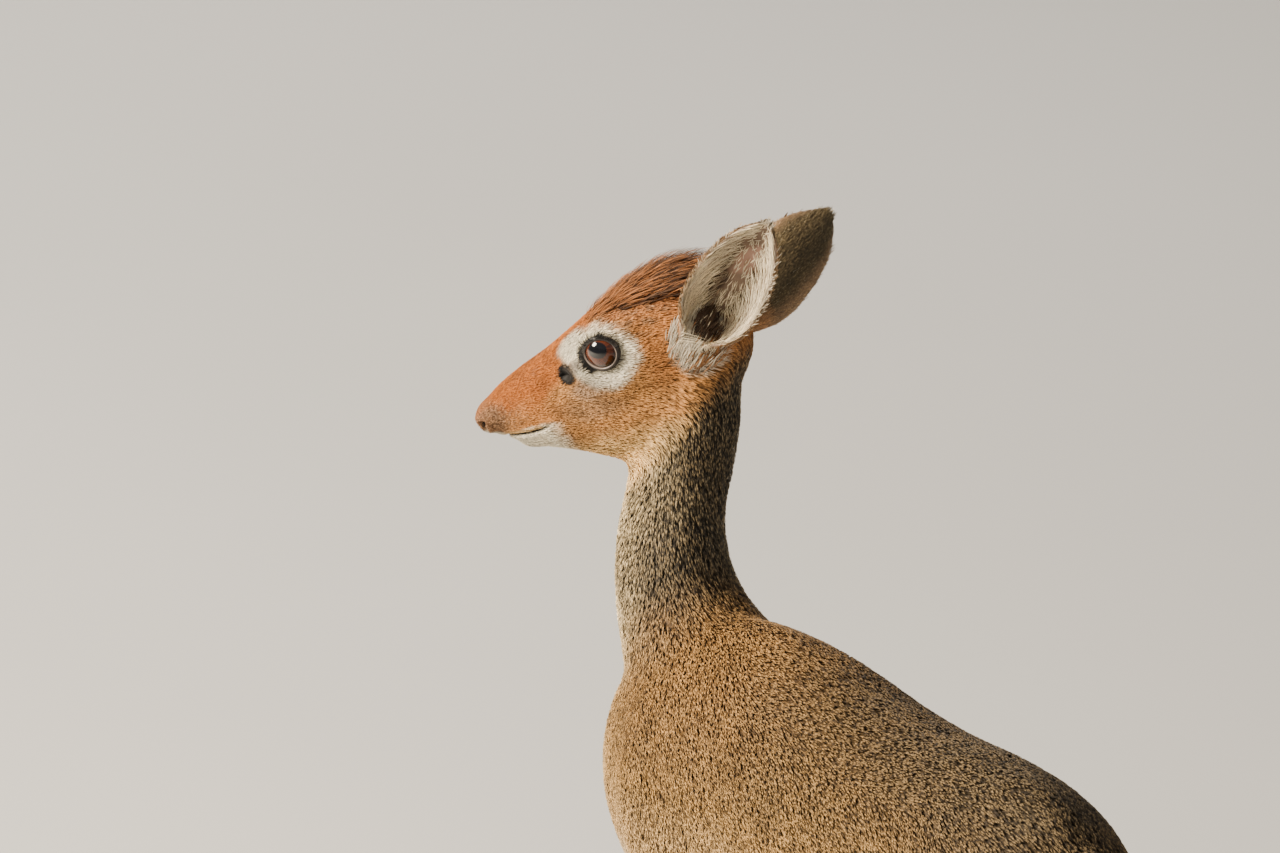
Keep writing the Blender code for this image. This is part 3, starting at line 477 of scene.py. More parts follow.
        # Pale hair round each ear's root, and the floor of its cup painted nearly black as painted shade of
        # the deep hollow.
        for ear in EARS.values():
            self.lay(colour, self.ear_root, 0.1, 0.85 * ear.mouth(head))
            self.lay(colour, self.ear_hollow_shade, 0.0, ear.hollow(head))
        for bare in (LIDS.bare(head), nostril_mask(head), smooth_step(mouth_distance(head), 1.1, 0.5)):
            self.lay(colour, self.black, 0.0, bare)
        return colour


def mouth_distance(head: Array) -> Array:
    """How far a place of the muzzle is from the line of the mouth, growing behind its corner."""
    gap = path_distance(head[:, [0, 2]], MOUTH_PATH)
    return gap + smooth_step(head[:, 0], 90, 84) * 9


def nostril_mask(head: Array) -> Array:
    """1 inside the slanted comma of a nostril."""
    spot = mirrored(head) - np.array(NOSTRIL)
    deep = np.array((0.62, 0.78, -0.08)) / np.linalg.norm((0.62, 0.78, -0.08))
    long = np.array((-0.35, 0.30, 0.88))
    long -= deep * (long @ deep)
    long /= np.linalg.norm(long)
    along, across = spot @ long, spot @ np.cross(deep, long)
    across = across + 0.10 * along**2
    reach = np.sqrt((along / 3.7) ** 2 + (across / 2.45) ** 2 + (spot @ deep / 6.0) ** 2)
    return smooth_step(reach, 1.12, 0.84)


@dataclass
class EarShape:
    """Where an ear stands on the head, which way its cup opens, and its outline."""

    root: tuple
    tip: tuple
    opening: tuple
    length: float = 83.5
    # Along the ear, as a share of its length, and its half width
    outline: tuple = (
        (-0.1, 7.5), (0.02, 10), (0.14, 13.2), (0.28, 17.2), (0.43, 19.4), (0.58, 18.9), (0.73, 16.6),
        (0.86, 12.8), (0.95, 8.2), (1.0, 3.6),
    )

    def __post_init__(self) -> None:
        """Works out the ear's own axes in the head's frame: along, across and towards the opening."""
        axis = Vector(self.tip).normalized()
        face = Vector(self.opening)
        face = (face - axis * face.dot(axis)).normalized()
        self.axes = np.array((axis, axis.cross(face), face))

    def spot(self, head: Array) -> Array:
        """Head millimetres to the ear's own."""
        return (head - np.array(self.root)) @ self.axes.T

    def local(self, points: Array) -> Array:
        """Share along the ear, share of the half width across, and millimetres towards the opening."""
        spot = self.spot(HEAD.to_head(points))
        share = spot[:, 0] / self.length
        half = np.interp(share, [row[0] for row in self.outline], [row[1] for row in self.outline])
        return np.stack([share, spot[:, 1] / half, spot[:, 2]], 1)

    def inner(self, points: Array, normals: Array) -> Array:
        """Whether each place faces the middle of the cup."""
        middle = self.spot(HEAD.to_head(points))
        rise = np.sin(math.pi * np.clip(middle[:, 0] / self.length, 0, 1))
        middle[:, 1] = 0
        middle[:, 2] = 15 - 5 * rise
        centre = HEAD.from_head(middle @ self.axes + np.array(self.root))
        return ((centre - points) * normals).sum(1) > 0

    def hollow(self, head: Array) -> Array:
        """1 on the head's own surface where it floors the cup."""
        along, across, high = self.spot(head).T
        return smooth_step(np.hypot((along - 7) / 10, across / 7.5), 1.1, 0.8) * smooth_step(high, -9, -5)

    def mouth(self, head: Array) -> Array:
        """1 on the head's own surface round the lower end of the cup."""
        along, across, high = self.spot(head).T
        return smooth_step(np.hypot((along + 1) / 19, across / 16), 1.0, 0.75) * smooth_step(high, -2, 2)


EARS = {
    "left": EarShape((-6, 18, 1), (-0.777, 0.241, 0.582), (-0.10, 0.97, 0.10)),
    "right": EarShape((-10, -18.5, -6), (-0.648, -0.716, 0.263), (0.32, -0.92, -0.23)),
}
LIE = Lie()
MARKINGS = Markings()


class Mark(Enum):
    """What a mesh carries on its vertices: name, kind of layer and field."""

    COLOUR = ("coat_colour", "FLOAT_COLOR", "color")
    STRAND = ("strand", "FLOAT_VECTOR", "vector")
    GAZE = ("gaze", "FLOAT_VECTOR", "vector")
    TEAR = ("tear_line", "FLOAT", "value")

    def write(self, mesh: Mesh, values: Array) -> None:
        """Writes the mark on every vertex."""
        name, kind, field = self.value
        layer = mesh.attributes.new(name, kind, "POINT")
        layer.data.foreach_set(field, values.astype(np.float32).ravel())


@dataclass(frozen=True)
class NodeSheet:
    """Adds nodes to one node tree and joins them."""

    tree: bpy.types.NodeTree

    def feed(self, node: bpy.types.Node, values: dict) -> None:
        """Links sockets to a node's inputs, or sets plain values on them."""
        for key, value in values.items():
            if isinstance(value, Socket):
                self.tree.links.new(value, node.inputs[key])
            else:
                node.inputs[key].default_value = value

    def add(self, kind: str, values: dict | None = None, **settings: object) -> bpy.types.Node:
        """A new node with its settings made and its inputs fed."""
        node = self.tree.nodes.new(kind)
        for key, value in settings.items():
            setattr(node, key, value)
        self.feed(node, values or {})
        return node

    def maths(self, operation: str, first: object, second: object = 0.0) -> Socket:
        """One arithmetic step."""
        return self.add("ShaderNodeMath", {0: first, 1: second}, operation=operation).outputs[0]

    def times(self, product_so_far: object, *others: object) -> Socket:
        """The product of some values, taken in order."""
        for other in others:
            product_so_far = self.maths("MULTIPLY", product_so_far, other)
        return product_so_far

    def span(self, value: object, low: float, high: float, start: object = 0.0, end: object = 1.0) -> Socket:
        """A value carried from one range to another and held inside it."""
        ends = {"Value": value, "From Min": low, "From Max": high, "To Min": start, "To Max": end}
        return self.add("ShaderNodeMapRange", ends, clamp=True).outputs["Result"]

    def mix(self, share: object, first: object, second: object) -> Socket:
        """A blend of two colours."""
        return self.add("ShaderNodeMix", {0: share, 6: first, 7: second}, data_type="RGBA").outputs[2]

    def scaled(self, colour: object, share: object) -> Socket:
        """A colour made darker or lighter."""
        plain = colour[:3] if isinstance(colour, tuple) else colour
        return self.add("ShaderNodeVectorMath", {0: plain, "Scale": share}, operation="SCALE").outputs[0]

    def stretched(self, vector: Socket, by: object) -> Socket:
        """A vector stretched along its axes."""
        return self.add("ShaderNodeVectorMath", {0: vector, 1: by}, operation="MULTIPLY").outputs[0]

    def parts(self, vector: Socket) -> list[Socket]:
        """A vector's three parts."""
        return list(self.add("ShaderNodeSeparateXYZ", {0: vector}).outputs)

    def joined(self, *parts: object) -> Socket:
        """A vector of three parts."""
        return self.add("ShaderNodeCombineXYZ", dict(enumerate(parts))).outputs[0]

    def noise(self, vector: object, scale: float, detail: float) -> Socket:
        """Noise over a vector, 0 to 1."""
        return self.add("ShaderNodeTexNoise", {"Vector": vector, "Scale": scale, "Detail": detail}).outputs[0]

    def place(self) -> Socket:
        """The object's own coordinates."""
        return self.add("ShaderNodeTexCoord").outputs["Object"]

    def marked(self, mark: Mark) -> bpy.types.bpy_prop_collection:
        """The outputs of a mark on the mesh, by name."""
        return self.add("ShaderNodeAttribute", attribute_name=mark.value[0]).outputs

    def bump(self, height: Socket, strength: float, distance: float) -> Socket:
        """A normal that follows a height, whose full rise is in metres."""
        values = {"Height": height, "Strength": strength, "Distance": distance}
        return self.add("ShaderNodeBump", values).outputs[0]


class Effect(Enum):
    """The two shared effects: the ticking of a coat, and the strands drawn on a tuft."""

    TICKING = "coat_ticking"
    STRANDS = "tuft_strands"


EFFECT_INPUTS = {
    Effect.TICKING: {
        "Colour": "Color", "Ticking": "Float", "Place": "Vector", "Fleck Size": "Float", "Stretch": "Vector",
    },
    Effect.STRANDS: {"Colour": "Color", "Ticking": "Float", "Strand": "Vector", "Root Shade": "Float"},
}
EFFECT_OUTPUTS = {"Colour": "Color", "Height": "Float"}
PALE_TIP = (0.70, 0.47, 0.21, 1.0)
DARK_TIP = (0.020, 0.015, 0.012, 1.0)


def effect_tree(kind: Effect) -> bpy.types.NodeTree:
    """A shared effect as a shader node group, made at its first use."""
    found = bpy.data.node_groups.get(kind.value)
    if found:
        return found
    tree = bpy.data.node_groups.new(kind.value, "ShaderNodeTree")
    for way, table in (("INPUT", EFFECT_INPUTS[kind]), ("OUTPUT", EFFECT_OUTPUTS)):
        for name, socket in table.items():
            tree.interface.new_socket(name=name, in_out=way, socket_type="NodeSocket" + socket)
    sheet = NodeSheet(tree)
    given = sheet.add("NodeGroupInput").outputs
    draw = draw_ticking if kind is Effect.TICKING else draw_strands
    colour, height = draw(sheet, given)
    sheet.add("NodeGroupOutput", {"Colour": colour, "Height": height})
    return tree


def draw_ticking(sheet: NodeSheet, given: bpy.types.bpy_prop_collection) -> tuple[Socket, Socket]:
    """Flecks of pale and dark hair tips over a coat, with a slow change of tone."""
    fleck = sheet.noise(sheet.stretched(given["Place"], given["Stretch"]), given["Fleck Size"], 1.0)
    cloud = sheet.noise(given["Place"], 70.0, 5.0)
    toned = sheet.scaled(given["Colour"], sheet.span(cloud, 0.3, 0.7, 0.78, 1.22))
    pale = sheet.times(sheet.span(fleck, 0.50, 0.60), given["Ticking"], 0.60)
    dark = sheet.times(sheet.span(fleck, 0.48, 0.40), given["Ticking"], 0.70)
    lit = sheet.mix(pale, toned, sheet.scaled(toned, 1.9))
    return sheet.mix(dark, lit, sheet.scaled(toned, 0.26)), fleck


def draw_strands(sheet: NodeSheet, given: bpy.types.bpy_prop_collection) -> tuple[Socket, Socket]:
    """Single hairs drawn along a tuft: dark at the root, banded near the tip, each tuft with its own tone."""
    along, across, seed = sheet.parts(given["Strand"])
    lines = sheet.joined(sheet.times(along, 0.8), sheet.times(across, 2.6), sheet.times(seed, 60.0))
    hair = sheet.noise(lines, 1.3, 1.0)
    shade = sheet.span(along, 0.05, 0.6, given["Root Shade"], 1.0)
    own = sheet.span(seed, 0.0, 1.0, 0.80, 1.18)
    toned = sheet.scaled(given["Colour"], sheet.times(shade, own, sheet.span(hair, 0.3, 0.7, 0.70, 1.22)))
    other = sheet.maths("FRACT", sheet.times(seed, 7.31))
    band = sheet.times(sheet.span(along, 0.48, 0.60), sheet.span(along, 0.92, 0.80))
    pale = sheet.times(band, sheet.span(other, 0.30, 0.50), given["Ticking"], 0.48)
    tipped = sheet.maths("MAXIMUM", sheet.span(along, 0.84, 0.97), sheet.span(other, 0.22, 0.12))
    dark = sheet.times(tipped, given["Ticking"], 0.50)
    lit = sheet.mix(pale, toned, sheet.mix(0.28, sheet.scaled(toned, 2.2), PALE_TIP))
    return sheet.mix(dark, lit, DARK_TIP), hair


@dataclass(frozen=True)
class Finish:
    """The look of one surface, made into a material at its first use."""

    name: str
    roughness: float

    def material(self) -> bpy.types.Material:
        """The finish as a material."""
        made = bpy.data.materials.get(self.name)
        if made is None:
            made = bpy.data.materials.new(self.name)
            made.use_nodes = True
            shader = made.node_tree.nodes["Principled BSDF"]
            shader.inputs["Roughness"].default_value = self.roughness
            self.draw(NodeSheet(made.node_tree), shader)
        return made

    def draw(self, sheet: NodeSheet, shader: bpy.types.Node) -> None:
        """Adds the finish's own nodes."""
        raise NotImplementedError


@dataclass(frozen=True)
class CoatFinish(Finish):
    """Hair of one region: the skin's or the tufts' colours come from the paint on the mesh."""

    roughness: float = 0.62
    fleck_size: float = 620.0
    stretch: tuple = (1.0, 1.0, 1.0)
    root_shade: float = 0.45
    ticking: float = 1.0
    on_tufts: bool = True
    skin_tone: float = 0.62

    def draw(self, sheet: NodeSheet, shader: bpy.types.Node) -> None:
        """Ticks the paint, and draws hairs over it on tufts or darkens it on skin."""
        sheet.feed(shader, {"Specular IOR Level": 0.20, "Sheen Weight": 0.04, "Sheen Roughness": 0.5})
        paint = sheet.marked(Mark.COLOUR)
        ticking = sheet.times(paint["Alpha"], self.ticking)
        values = {"Colour": paint["Color"], "Ticking": ticking, "Place": sheet.place(),
                  "Fleck Size": self.fleck_size, "Stretch": self.stretch}
        group = sheet.add("ShaderNodeGroup", values, node_tree=effect_tree(Effect.TICKING))
        colour, height = group.outputs
        if self.on_tufts:
            values = {"Colour": colour, "Ticking": ticking, "Strand": sheet.marked(Mark.STRAND)["Vector"],
                      "Root Shade": self.root_shade}
            group = sheet.add("ShaderNodeGroup", values, node_tree=effect_tree(Effect.STRANDS))
            colour, height = group.outputs
        else:
            colour = sheet.scaled(colour, self.skin_tone)
        sheet.feed(shader, {"Base Color": colour, "Normal": sheet.bump(height, 0.5, 0.0003)})


@dataclass(frozen=True)
class HornFinish(Finish):
    """Black horn of the hooves and dewclaws, with growth rings and a duller, dusty edge."""

    name: str = "hoof_horn"
    roughness: float = 0.38
    dark: tuple = (0.012, 0.010, 0.009, 1.0)
    worn: tuple = (0.075, 0.062, 0.050, 1.0)

    def draw(self, sheet: NodeSheet, shader: bpy.types.Node) -> None:
        """Rings across the horn, grain all over and dust near the floor."""
        place = sheet.place()
        rings = sheet.noise(sheet.stretched(place, (0.15, 0.15, 1.0)), 900.0, 1.0)
        grain = sheet.noise(place, 420.0, 4.0)
        low = sheet.span(sheet.parts(place)[2], 0.006, 0.0, 0.0, 0.8)
        dusty = sheet.maths("ADD", low, sheet.span(rings, 0.5, 0.75, 0.0, 0.35))
        share = sheet.times(dusty, sheet.span(grain, 0.35, 0.65, 0.4, 1.0))
        sheet.feed(shader, {
            "Base Color": sheet.mix(share, self.dark, self.worn),
            "Roughness": sheet.span(grain, 0.3, 0.7, 0.30, 0.52),
            "Normal": sheet.bump(rings, 0.35, 0.0004),
        })


@dataclass(frozen=True)
class EyeFinish(Finish):
    """A wet eyeball: a dark oval pupil, a red-brown iris with fine spokes and a dark rim."""

    name: str = "wet_eye"
    roughness: float = 0.12
    pupil: tuple = (0.004, 0.004, 0.006, 1.0)
    iris: tuple = (0.050, 0.012, 0.005, 1.0)
    iris_light: tuple = (0.125, 0.028, 0.008, 1.0)
    rim: tuple = (0.012, 0.006, 0.004, 1.0)

    def draw(self, sheet: NodeSheet, shader: bpy.types.Node) -> None:
        """Rings of colour round the gaze under a clear coat."""
        sheet.feed(shader, {"Specular IOR Level": 0.2, "Coat Weight": 1.0, "Coat Roughness": 0.015})
        across, rise, angle = sheet.parts(sheet.marked(Mark.GAZE)["Vector"])
        spokes = sheet.noise(sheet.joined(across, rise, sheet.times(angle, 0.22)), 13.0, 3.0)
        tone = sheet.mix(sheet.span(spokes, 0.35, 0.65), self.iris, self.iris_light)
        ringed = sheet.mix(sheet.span(angle, 0.74, 0.92), tone, self.rim)
        sheet.feed(shader, {"Base Color": sheet.mix(sheet.span(angle, 0.47, 0.41), ringed, self.pupil)})


@dataclass(frozen=True)
class LidFinish(Finish):
    """Bare black skin of the lids, moist along the rim and paler along the lower tear line."""

    name: str = "lid_skin"
    roughness: float = 0.36
    skin: tuple = (0.014, 0.011, 0.010, 1.0)
    tear: tuple = (0.52, 0.40, 0.34, 1.0)

    def draw(self, sheet: NodeSheet, shader: bpy.types.Node) -> None:
        """Fine grain, and a smoother, paler tear line."""
        tear = sheet.marked(Mark.TEAR)["Fac"]
        grain = sheet.noise(sheet.place(), 1500.0, 3.0)
        dark = sheet.scaled(self.skin, sheet.span(grain, 0.3, 0.7, 0.6, 2.2))
        sheet.feed(shader, {
            "Base Color": sheet.mix(tear, dark, self.tear),
            "Roughness": sheet.span(tear, 0.0, 1.0, 0.40, 0.16),
            "Normal": sheet.bump(grain, 0.5, 0.0002),
        })


@dataclass(frozen=True)
class FloorFinish(Finish):
    """A plain pale floor with the faintest unevenness."""

    name: str = "pale_floor"
    roughness: float = 0.8
    pale: tuple = (0.70, 0.69, 0.665, 1.0)

    def draw(self, sheet: NodeSheet, shader: bpy.types.Node) -> None:
        """One tone with a slow cloud over it."""
        cloud = sheet.noise(sheet.place(), 1.5, 3.0)
        sheet.feed(shader, {"Base Color": sheet.scaled(self.pale, sheet.span(cloud, 0.3, 0.7, 0.97, 1.03))})


def linked(name: str, data: bpy.types.ID) -> Object:
    """A new object at the origin, linked to the scene."""
    made = bpy.data.objects.new(name, data)
    bpy.context.scene.collection.objects.link(made)
    return made


def new_object(name: str, mesh: Mesh, finish: Finish) -> Object:
    """A smooth-shaded object at the origin with its finish."""
    made = linked(name, mesh)
    mesh.materials.clear()
    mesh.materials.append(finish.material())
    mesh.shade_smooth()
    return made


def poured(bm: bmesh.types.BMesh, name: str) -> Mesh:
    """A new mesh in the shape of a BMesh, which is freed."""
    mesh = bpy.data.meshes.new(name)
    bm.to_mesh(mesh)
    bm.free()
    return mesh


@contextmanager
def opened(mesh: Mesh) -> Iterator[bmesh.types.BMesh]:
    """A mesh opened as a BMesh and written back at the end."""
    bm = bmesh.new()
    bm.from_mesh(mesh)
    yield bm
    bm.to_mesh(mesh)
    bm.free()


def keep(piece: Object, replaced: tuple = ()) -> Object:
    """Makes a piece ride on the body and hides the solids that it stands for."""
    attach(piece, "root")
    if replaced:
        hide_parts(*replaced)
    piece.data.calc_loop_triangles()
    LOG.info("%s: %d triangles", piece.name, len(piece.data.loop_triangles))
    return piece


def solid_copy(node: str, grown: float = 0.0) -> bmesh.types.BMesh:
    """A merged copy of a CAD solid, moved out along its normals by some millimetres."""
    bm = bmesh.new()
    bm.from_mesh(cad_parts[node].data)
    bmesh.ops.remove_doubles(bm, verts=bm.verts, dist=1e-5)
    bm.normal_update()
    for vert in bm.verts:
        vert.co += vert.normal * (grown * MM)
    return bm


def remeshed(bm: bmesh.types.BMesh, voxel: float, softening: int, name: str) -> Mesh:
    """Closes overlapping forms into one even mesh.

    Args:
        bm: the forms, freed here.
        voxel: the new mesh's fineness in millimetres.
        softening: rounds of smoothing.
        name: the mesh's name.

    Returns:
        The new mesh.
    """
    rough = poured(bm, name + "_rough")
    holder = linked(name + "_rough", rough)
    remesh = holder.modifiers.new("close", "REMESH")
    remesh.mode = "VOXEL"
    remesh.voxel_size = voxel * MM
    soften = holder.modifiers.new("soften", "SMOOTH")
    soften.iterations = softening
    graph = bpy.context.evaluated_depsgraph_get()
    mesh = bpy.data.meshes.new_from_object(holder.evaluated_get(graph))
    mesh.name = name
    bpy.data.objects.remove(holder)
    bpy.data.meshes.remove(rough)
    return mesh


def keep_largest(bm: bmesh.types.BMesh) -> None:
    """Deletes every loose surface but the one with the most vertices."""
    unseen = set(bm.verts)
    pieces = []
    while unseen:
        stack = [unseen.pop()]
        found = set(stack)
        while stack:
            for edge in stack.pop().link_edges:
                for vert in edge.verts:
                    if vert in unseen:
                        unseen.discard(vert)
                        found.add(vert)
                        stack.append(vert)
        pieces.append(found)
    pieces.sort(key=len, reverse=True)
    bmesh.ops.delete(bm, geom=[v for piece in pieces[1:] for v in piece], context="VERTS")


def table_of(rows: bpy.types.bpy_prop_collection, field: str, width: int, kind: type = np.float32) -> Array:
    """One field of all of a mesh's vertices, edges or corners, as an array with a row for each."""
    flat = np.empty(len(rows) * width, kind)
    rows.foreach_get(field, flat)
    return flat.reshape(-1, width)


def read_points(mesh: Mesh) -> Array:
    """A mesh's vertex places."""
    return table_of(mesh.vertices, "co", 3).astype(float)


def write_points(mesh: Mesh, points: Array) -> None:
    """Moves a mesh's vertices."""
    mesh.vertices.foreach_set("co", points.astype(np.float32).ravel())
    mesh.update()


def read_normals(mesh: Mesh) -> Array:
    """A mesh's vertex normals."""
    return table_of(mesh.vertex_normals, "vector", 3).astype(float)


def relax(mesh: Mesh, points: Array, share: Array, rounds: int) -> Array:
    """Draws each vertex towards the middle of its neighbours by its own share, some rounds over."""
    first, last = table_of(mesh.edges, "vertices", 2, np.int32).T
    count = len(points)
    degree = np.maximum(np.bincount(first, minlength=count) + np.bincount(last, minlength=count), 1)
    for _ in range(rounds):
        for k in range(3):
            pulled = np.bincount(first, points[last, k], count) + np.bincount(last, points[first, k], count)
            points[:, k] += (pulled / degree - points[:, k]) * share
    return points


def unwrap(piece: Object) -> None:
    """Unwraps a piece's own shape to the map that its coat shares."""
    piece.data.uv_layers.new(name="OFBake")
    bpy.ops.object.select_all(action="DESELECT")
    piece.select_set(True)
    bpy.context.view_layer.objects.active = piece
    bpy.ops.object.mode_set(mode="EDIT")
    bpy.ops.mesh.select_all(action="SELECT")
    bpy.ops.uv.smart_project(angle_limit=math.radians(66), island_margin=0.0008)
    bpy.ops.object.mode_set(mode="OBJECT")
    piece.select_set(False)


@dataclass
class Skin:
    """The one skin of head, neck, trunk, tail and legs, a coat's depth inside the solids."""

    overlap: float = 0.35
    voxel: float = 2.45
    socket_fill: float = 11.5
    # From the eyeball's centre to the skin: under the lids, beside them and behind the open eye
    under_lids: float = 11.15
    beside_lids: float = 11.05
    behind_eye: float = 8.2
    # Muscles, bones and hollows of the body: centre, radii, height and softness of the border
    forms: tuple = (
        ((8, 48, 300), (24, 26, 50), 2.2, 0.8), ((40, 46, 240), (22, 22, 28), 2.4, 0.8),
        ((72, 54, 296), (15, 22, 44), -3.2, 0.8), ((-30, 40, 262), (14, 22, 30), -2.0, 0.8),
        ((222, 54, 292), (26, 24, 36), -4.2, 0.8), ((140, 56, 280), (50, 22, 44), 1.0, 0.9),
        ((276, 52, 290), (32, 26, 46), 2.2, 0.8), ((252, 44, 240), (16, 20, 22), 1.6, 0.8),
        ((210, 0, 206), (56, 60, 30), -5.0, 0.9), ((-46, 0, 224), (22, 40, 20), -3.5, 0.9),
        ((30, 32, 136), (7, 12, 14), 0.9, 0.8), ((46, 32, 100), (5, 12, 26), -0.6, 0.8),
        ((332, 35, 110), (5, 10, 30), -0.5, 0.8), ((-30, 36, 330), (20, 22, 26), -1.2, 0.9),
    )
    # Jaw, hollow before it, brow, hollow before the eye, cheekbone, nose and its side, in the same way
    features: tuple = (
        ((14, 25, -26), (18, 14, 20), 0.9, 0.6), ((78, 14, -30), (14, 12, 7), -0.8, 0.7),
        ((46, 24, 27), (14, 8, 6), 0.8, 0.7), ((80, 17, 4), (14, 8, 8), -0.9, 0.8),
        ((50, 28, -8), (22, 8, 5), 0.6, 0.8), ((120, 6.5, -3.5), (6, 5, 6), 0.9, 0.7),
        ((106, 9, -2), (8, 6, 8), -0.7, 0.8),
    )

    def build(self) -> Object:
        """Builds, shapes and paints the skin."""
        mesh = self._closed()
        self._refine(mesh)
        points = read_points(mesh)
        write_points(mesh, points - read_normals(mesh) * LIE.read(points)[1][:, 3:4] * MM)
        self._shape_body(mesh)
        self._shape_head(mesh)
        Mark.COLOUR.write(mesh, MARKINGS.paint(read_points(mesh)))
        piece = new_object("skin", mesh, CoatFinish("coat_skin", on_tufts=False, fleck_size=700.0))
        unwrap(piece)
        return keep(piece, tuple(FLESH))

    def _closed(self) -> Mesh:
        """Every solid of flesh in one even mesh, with the eye sockets filled and the crest taken off."""
        whole = bmesh.new()
        for node in FLESH:
            passing = poured(solid_copy(node, self.overlap), "passing")
            whole.from_mesh(passing)
            bpy.data.meshes.remove(passing)
        for side in SIDES:
            bmesh.ops.create_uvsphere(
                whole, u_segments=32, v_segments=20, radius=self.socket_fill * MM,
                matrix=Matrix.Translation(HEAD.eye(side)),
            )
        mesh = remeshed(whole, self.voxel, 3, "skin")
        with opened(mesh) as bm:
            keep_largest(bm)
        points = read_points(mesh)
        share = self._cap_crown(points)
        points = relax(mesh, points, share * 0.6, 26)
        self._cap_crown(points)
        head = HEAD.to_head(points)
        even = np.where(HEAD.to_body(points)[:, 2] < 190, 0.35, 0.5)
        even *= 1 - 0.6 * smooth_step(head[:, 0], 84, 100) * head_share(head)
        write_points(mesh, relax(mesh, points, even, 7))
        return mesh

    def _cap_crown(self, points: Array) -> Array:
        """Brings the crown down to its bare outline, in place.

        Returns:
            How much each vertex belongs to the crown.
        """
        head = HEAD.to_head(points)
        top, width, widest = (np.interp(head[:, 0], CROWN[:, 0], CROWN[:, k]) for k in (1, 2, 3))
        up = (head[:, 2] - widest) / (top - widest)
        out = head[:, 1] / width
        reach = np.hypot(up, out)
        lean = np.abs(np.arctan2(out, np.maximum(up, 1e-6)))
        share = smooth_step(lean, 1.15, 0.85) * smooth_step(head[:, 0], -25, -19)
        share *= smooth_step(head[:, 0], 66, 56)
        share *= (up > 0) * head_share(head)
        pull = np.where(reach > 1, share * (1 - 1 / np.maximum(reach, 1e-6)), 0.0)
        head[:, 1] -= head[:, 1] * pull
        head[:, 2] -= (head[:, 2] - widest) * pull
        points[:] = HEAD.from_head(head)
        return share

    def _refine(self, mesh: Mesh) -> None:
        """Splits the faces of the head once, and those of the muzzle, eyes and glands again."""
        for finest in (False, True):
            head = HEAD.to_head(read_points(mesh))
            wanted = (head_share(head) > 0.5) & (head[:, 0] > -14)
            if finest:
                straight = mirrored(head)
                wanted &= (head[:, 0] > 90) | (reach(straight, EYE_SPOT) < 17) | (reach(straight, GLAND) < 8)
            chosen = set(np.nonzero(wanted)[0].tolist())
            with opened(mesh) as bm:
                bm.verts.index_update()
                edges = [e for e in bm.edges if e.verts[0].index in chosen and e.verts[1].index in chosen]
                bmesh.ops.subdivide_edges(bm, edges=edges, cuts=1, use_grid_fill=True)
            points = read_points(mesh)
            close = head_share(HEAD.to_head(points))
            write_points(mesh, relax(mesh, points, close * 0.5, 3))

    def _shape_body(self, mesh: Mesh) -> None:
        """Blends the legs into the trunk and brings out shoulder, ribs, flank, knees and hocks."""
        points = read_points(mesh)
        place = mirrored(HEAD.to_body(points))
        joins = np.maximum(inside(place, (42, 30, 208), (34, 30, 20), 0.4),
                           inside(place, (282, 28, 213), (42, 36, 26), 0.45))
        points = relax(mesh, points, joins * 0.6, 60)
        write_points(mesh, points)
        rise = np.zeros(len(points))
        add_mounds(rise, mirrored(HEAD.to_body(points)), self.forms)
        write_points(mesh, points + read_normals(mesh) * rise[:, None] * MM)

    def _shape_head(self, mesh: Mesh) -> None:
        """Presses in the mouth, nostrils and glands, and raises their rims, folds and the face's forms."""
        points, normals = read_points(mesh), read_normals(mesh)
        head = HEAD.to_head(points)
        straight = mirrored(head)
        near = head_share(head)
        mouth = mouth_distance(head)
        rise = smooth_step(head[:, 0], 82, 90) * (0.40 * bell(mouth, 2.2, 1.2) - 1.25 * bell(mouth, 0, 0.75))
        rise -= 2.8 * nostril_mask(head)
        rise += 0.45 * bell(reach(straight, NOSTRIL, (1, 1, 1.1)), 4.2, 1.1)
        groove = bell(straight[:, 1], 0, 0.8) * smooth_step(head[:, 0], 119, 122)
        rise -= 0.45 * groove * smooth_step(head[:, 2], -4, -7)
        gland = reach(straight, GLAND, (1, 1.6, 0.85))
        rise += 0.7 * bell(gland, 4.6, 1.3) - 1.9 * bell(gland, 0, 2.6)
        slit = path_distance(straight[:, [0, 2]], [(66.6, 5.6), (70.4, 7.0)])
        rise -= 0.7 * bell(slit, 0, 0.6) * smooth_step(gland, 6, 4)
        # Folds above and below the lids
        ratio = LIDS.ratio(head)
        eye_side = smooth_step(reach(straight, EYE_SPOT), 19, 16)
        rise -= 0.50 * bell(ratio, 1.50, 0.09) * eye_side
        rise += 0.45 * bell(ratio, 1.72, 0.14) * eye_side * smooth_step(straight[:, 2] - EYE_SPOT[2], -2, 6)
        add_mounds(rise, straight, self.features)
        points += normals * (rise * near)[:, None] * MM
        write_points(mesh, self._seat_lids(points, near))

    def _seat_lids(self, points: Array, near: Array) -> Array:
        """Lays the skin round each eye on its ball; inside the lids it dives behind the ball's front."""
        head = HEAD.to_head(points)
        spot = mirrored(head) - EYE_SPOT
        away = np.linalg.norm(spot, axis=1)
        ratio = LIDS.ratio(head)
        open_share = smooth_step(ratio, 1.24, 1.12) * smooth_step(away, 16, 14) * near
        lid_share = smooth_step(ratio, 1.75, 1.35) * smooth_step(away, 18, 14) * near
        wanted = away + (np.minimum(away, self.under_lids) - away) * lid_share
        beside = (ratio < 2.1) & (away > 9) & (away < 14)
        wanted = np.where(beside, np.maximum(wanted, self.beside_lids), wanted)
        wanted += (self.behind_eye - wanted) * open_share
        spot *= (wanted / np.maximum(away, 1e-6))[:, None]
        straight = spot + EYE_SPOT
        straight[:, 1] *= np.where(head[:, 1] < 0, -1, 1)
        changed = ((lid_share + open_share > 0) | beside)[:, None] & (near > 0.5)[:, None]
        return np.where(changed, HEAD.from_head(straight), points)


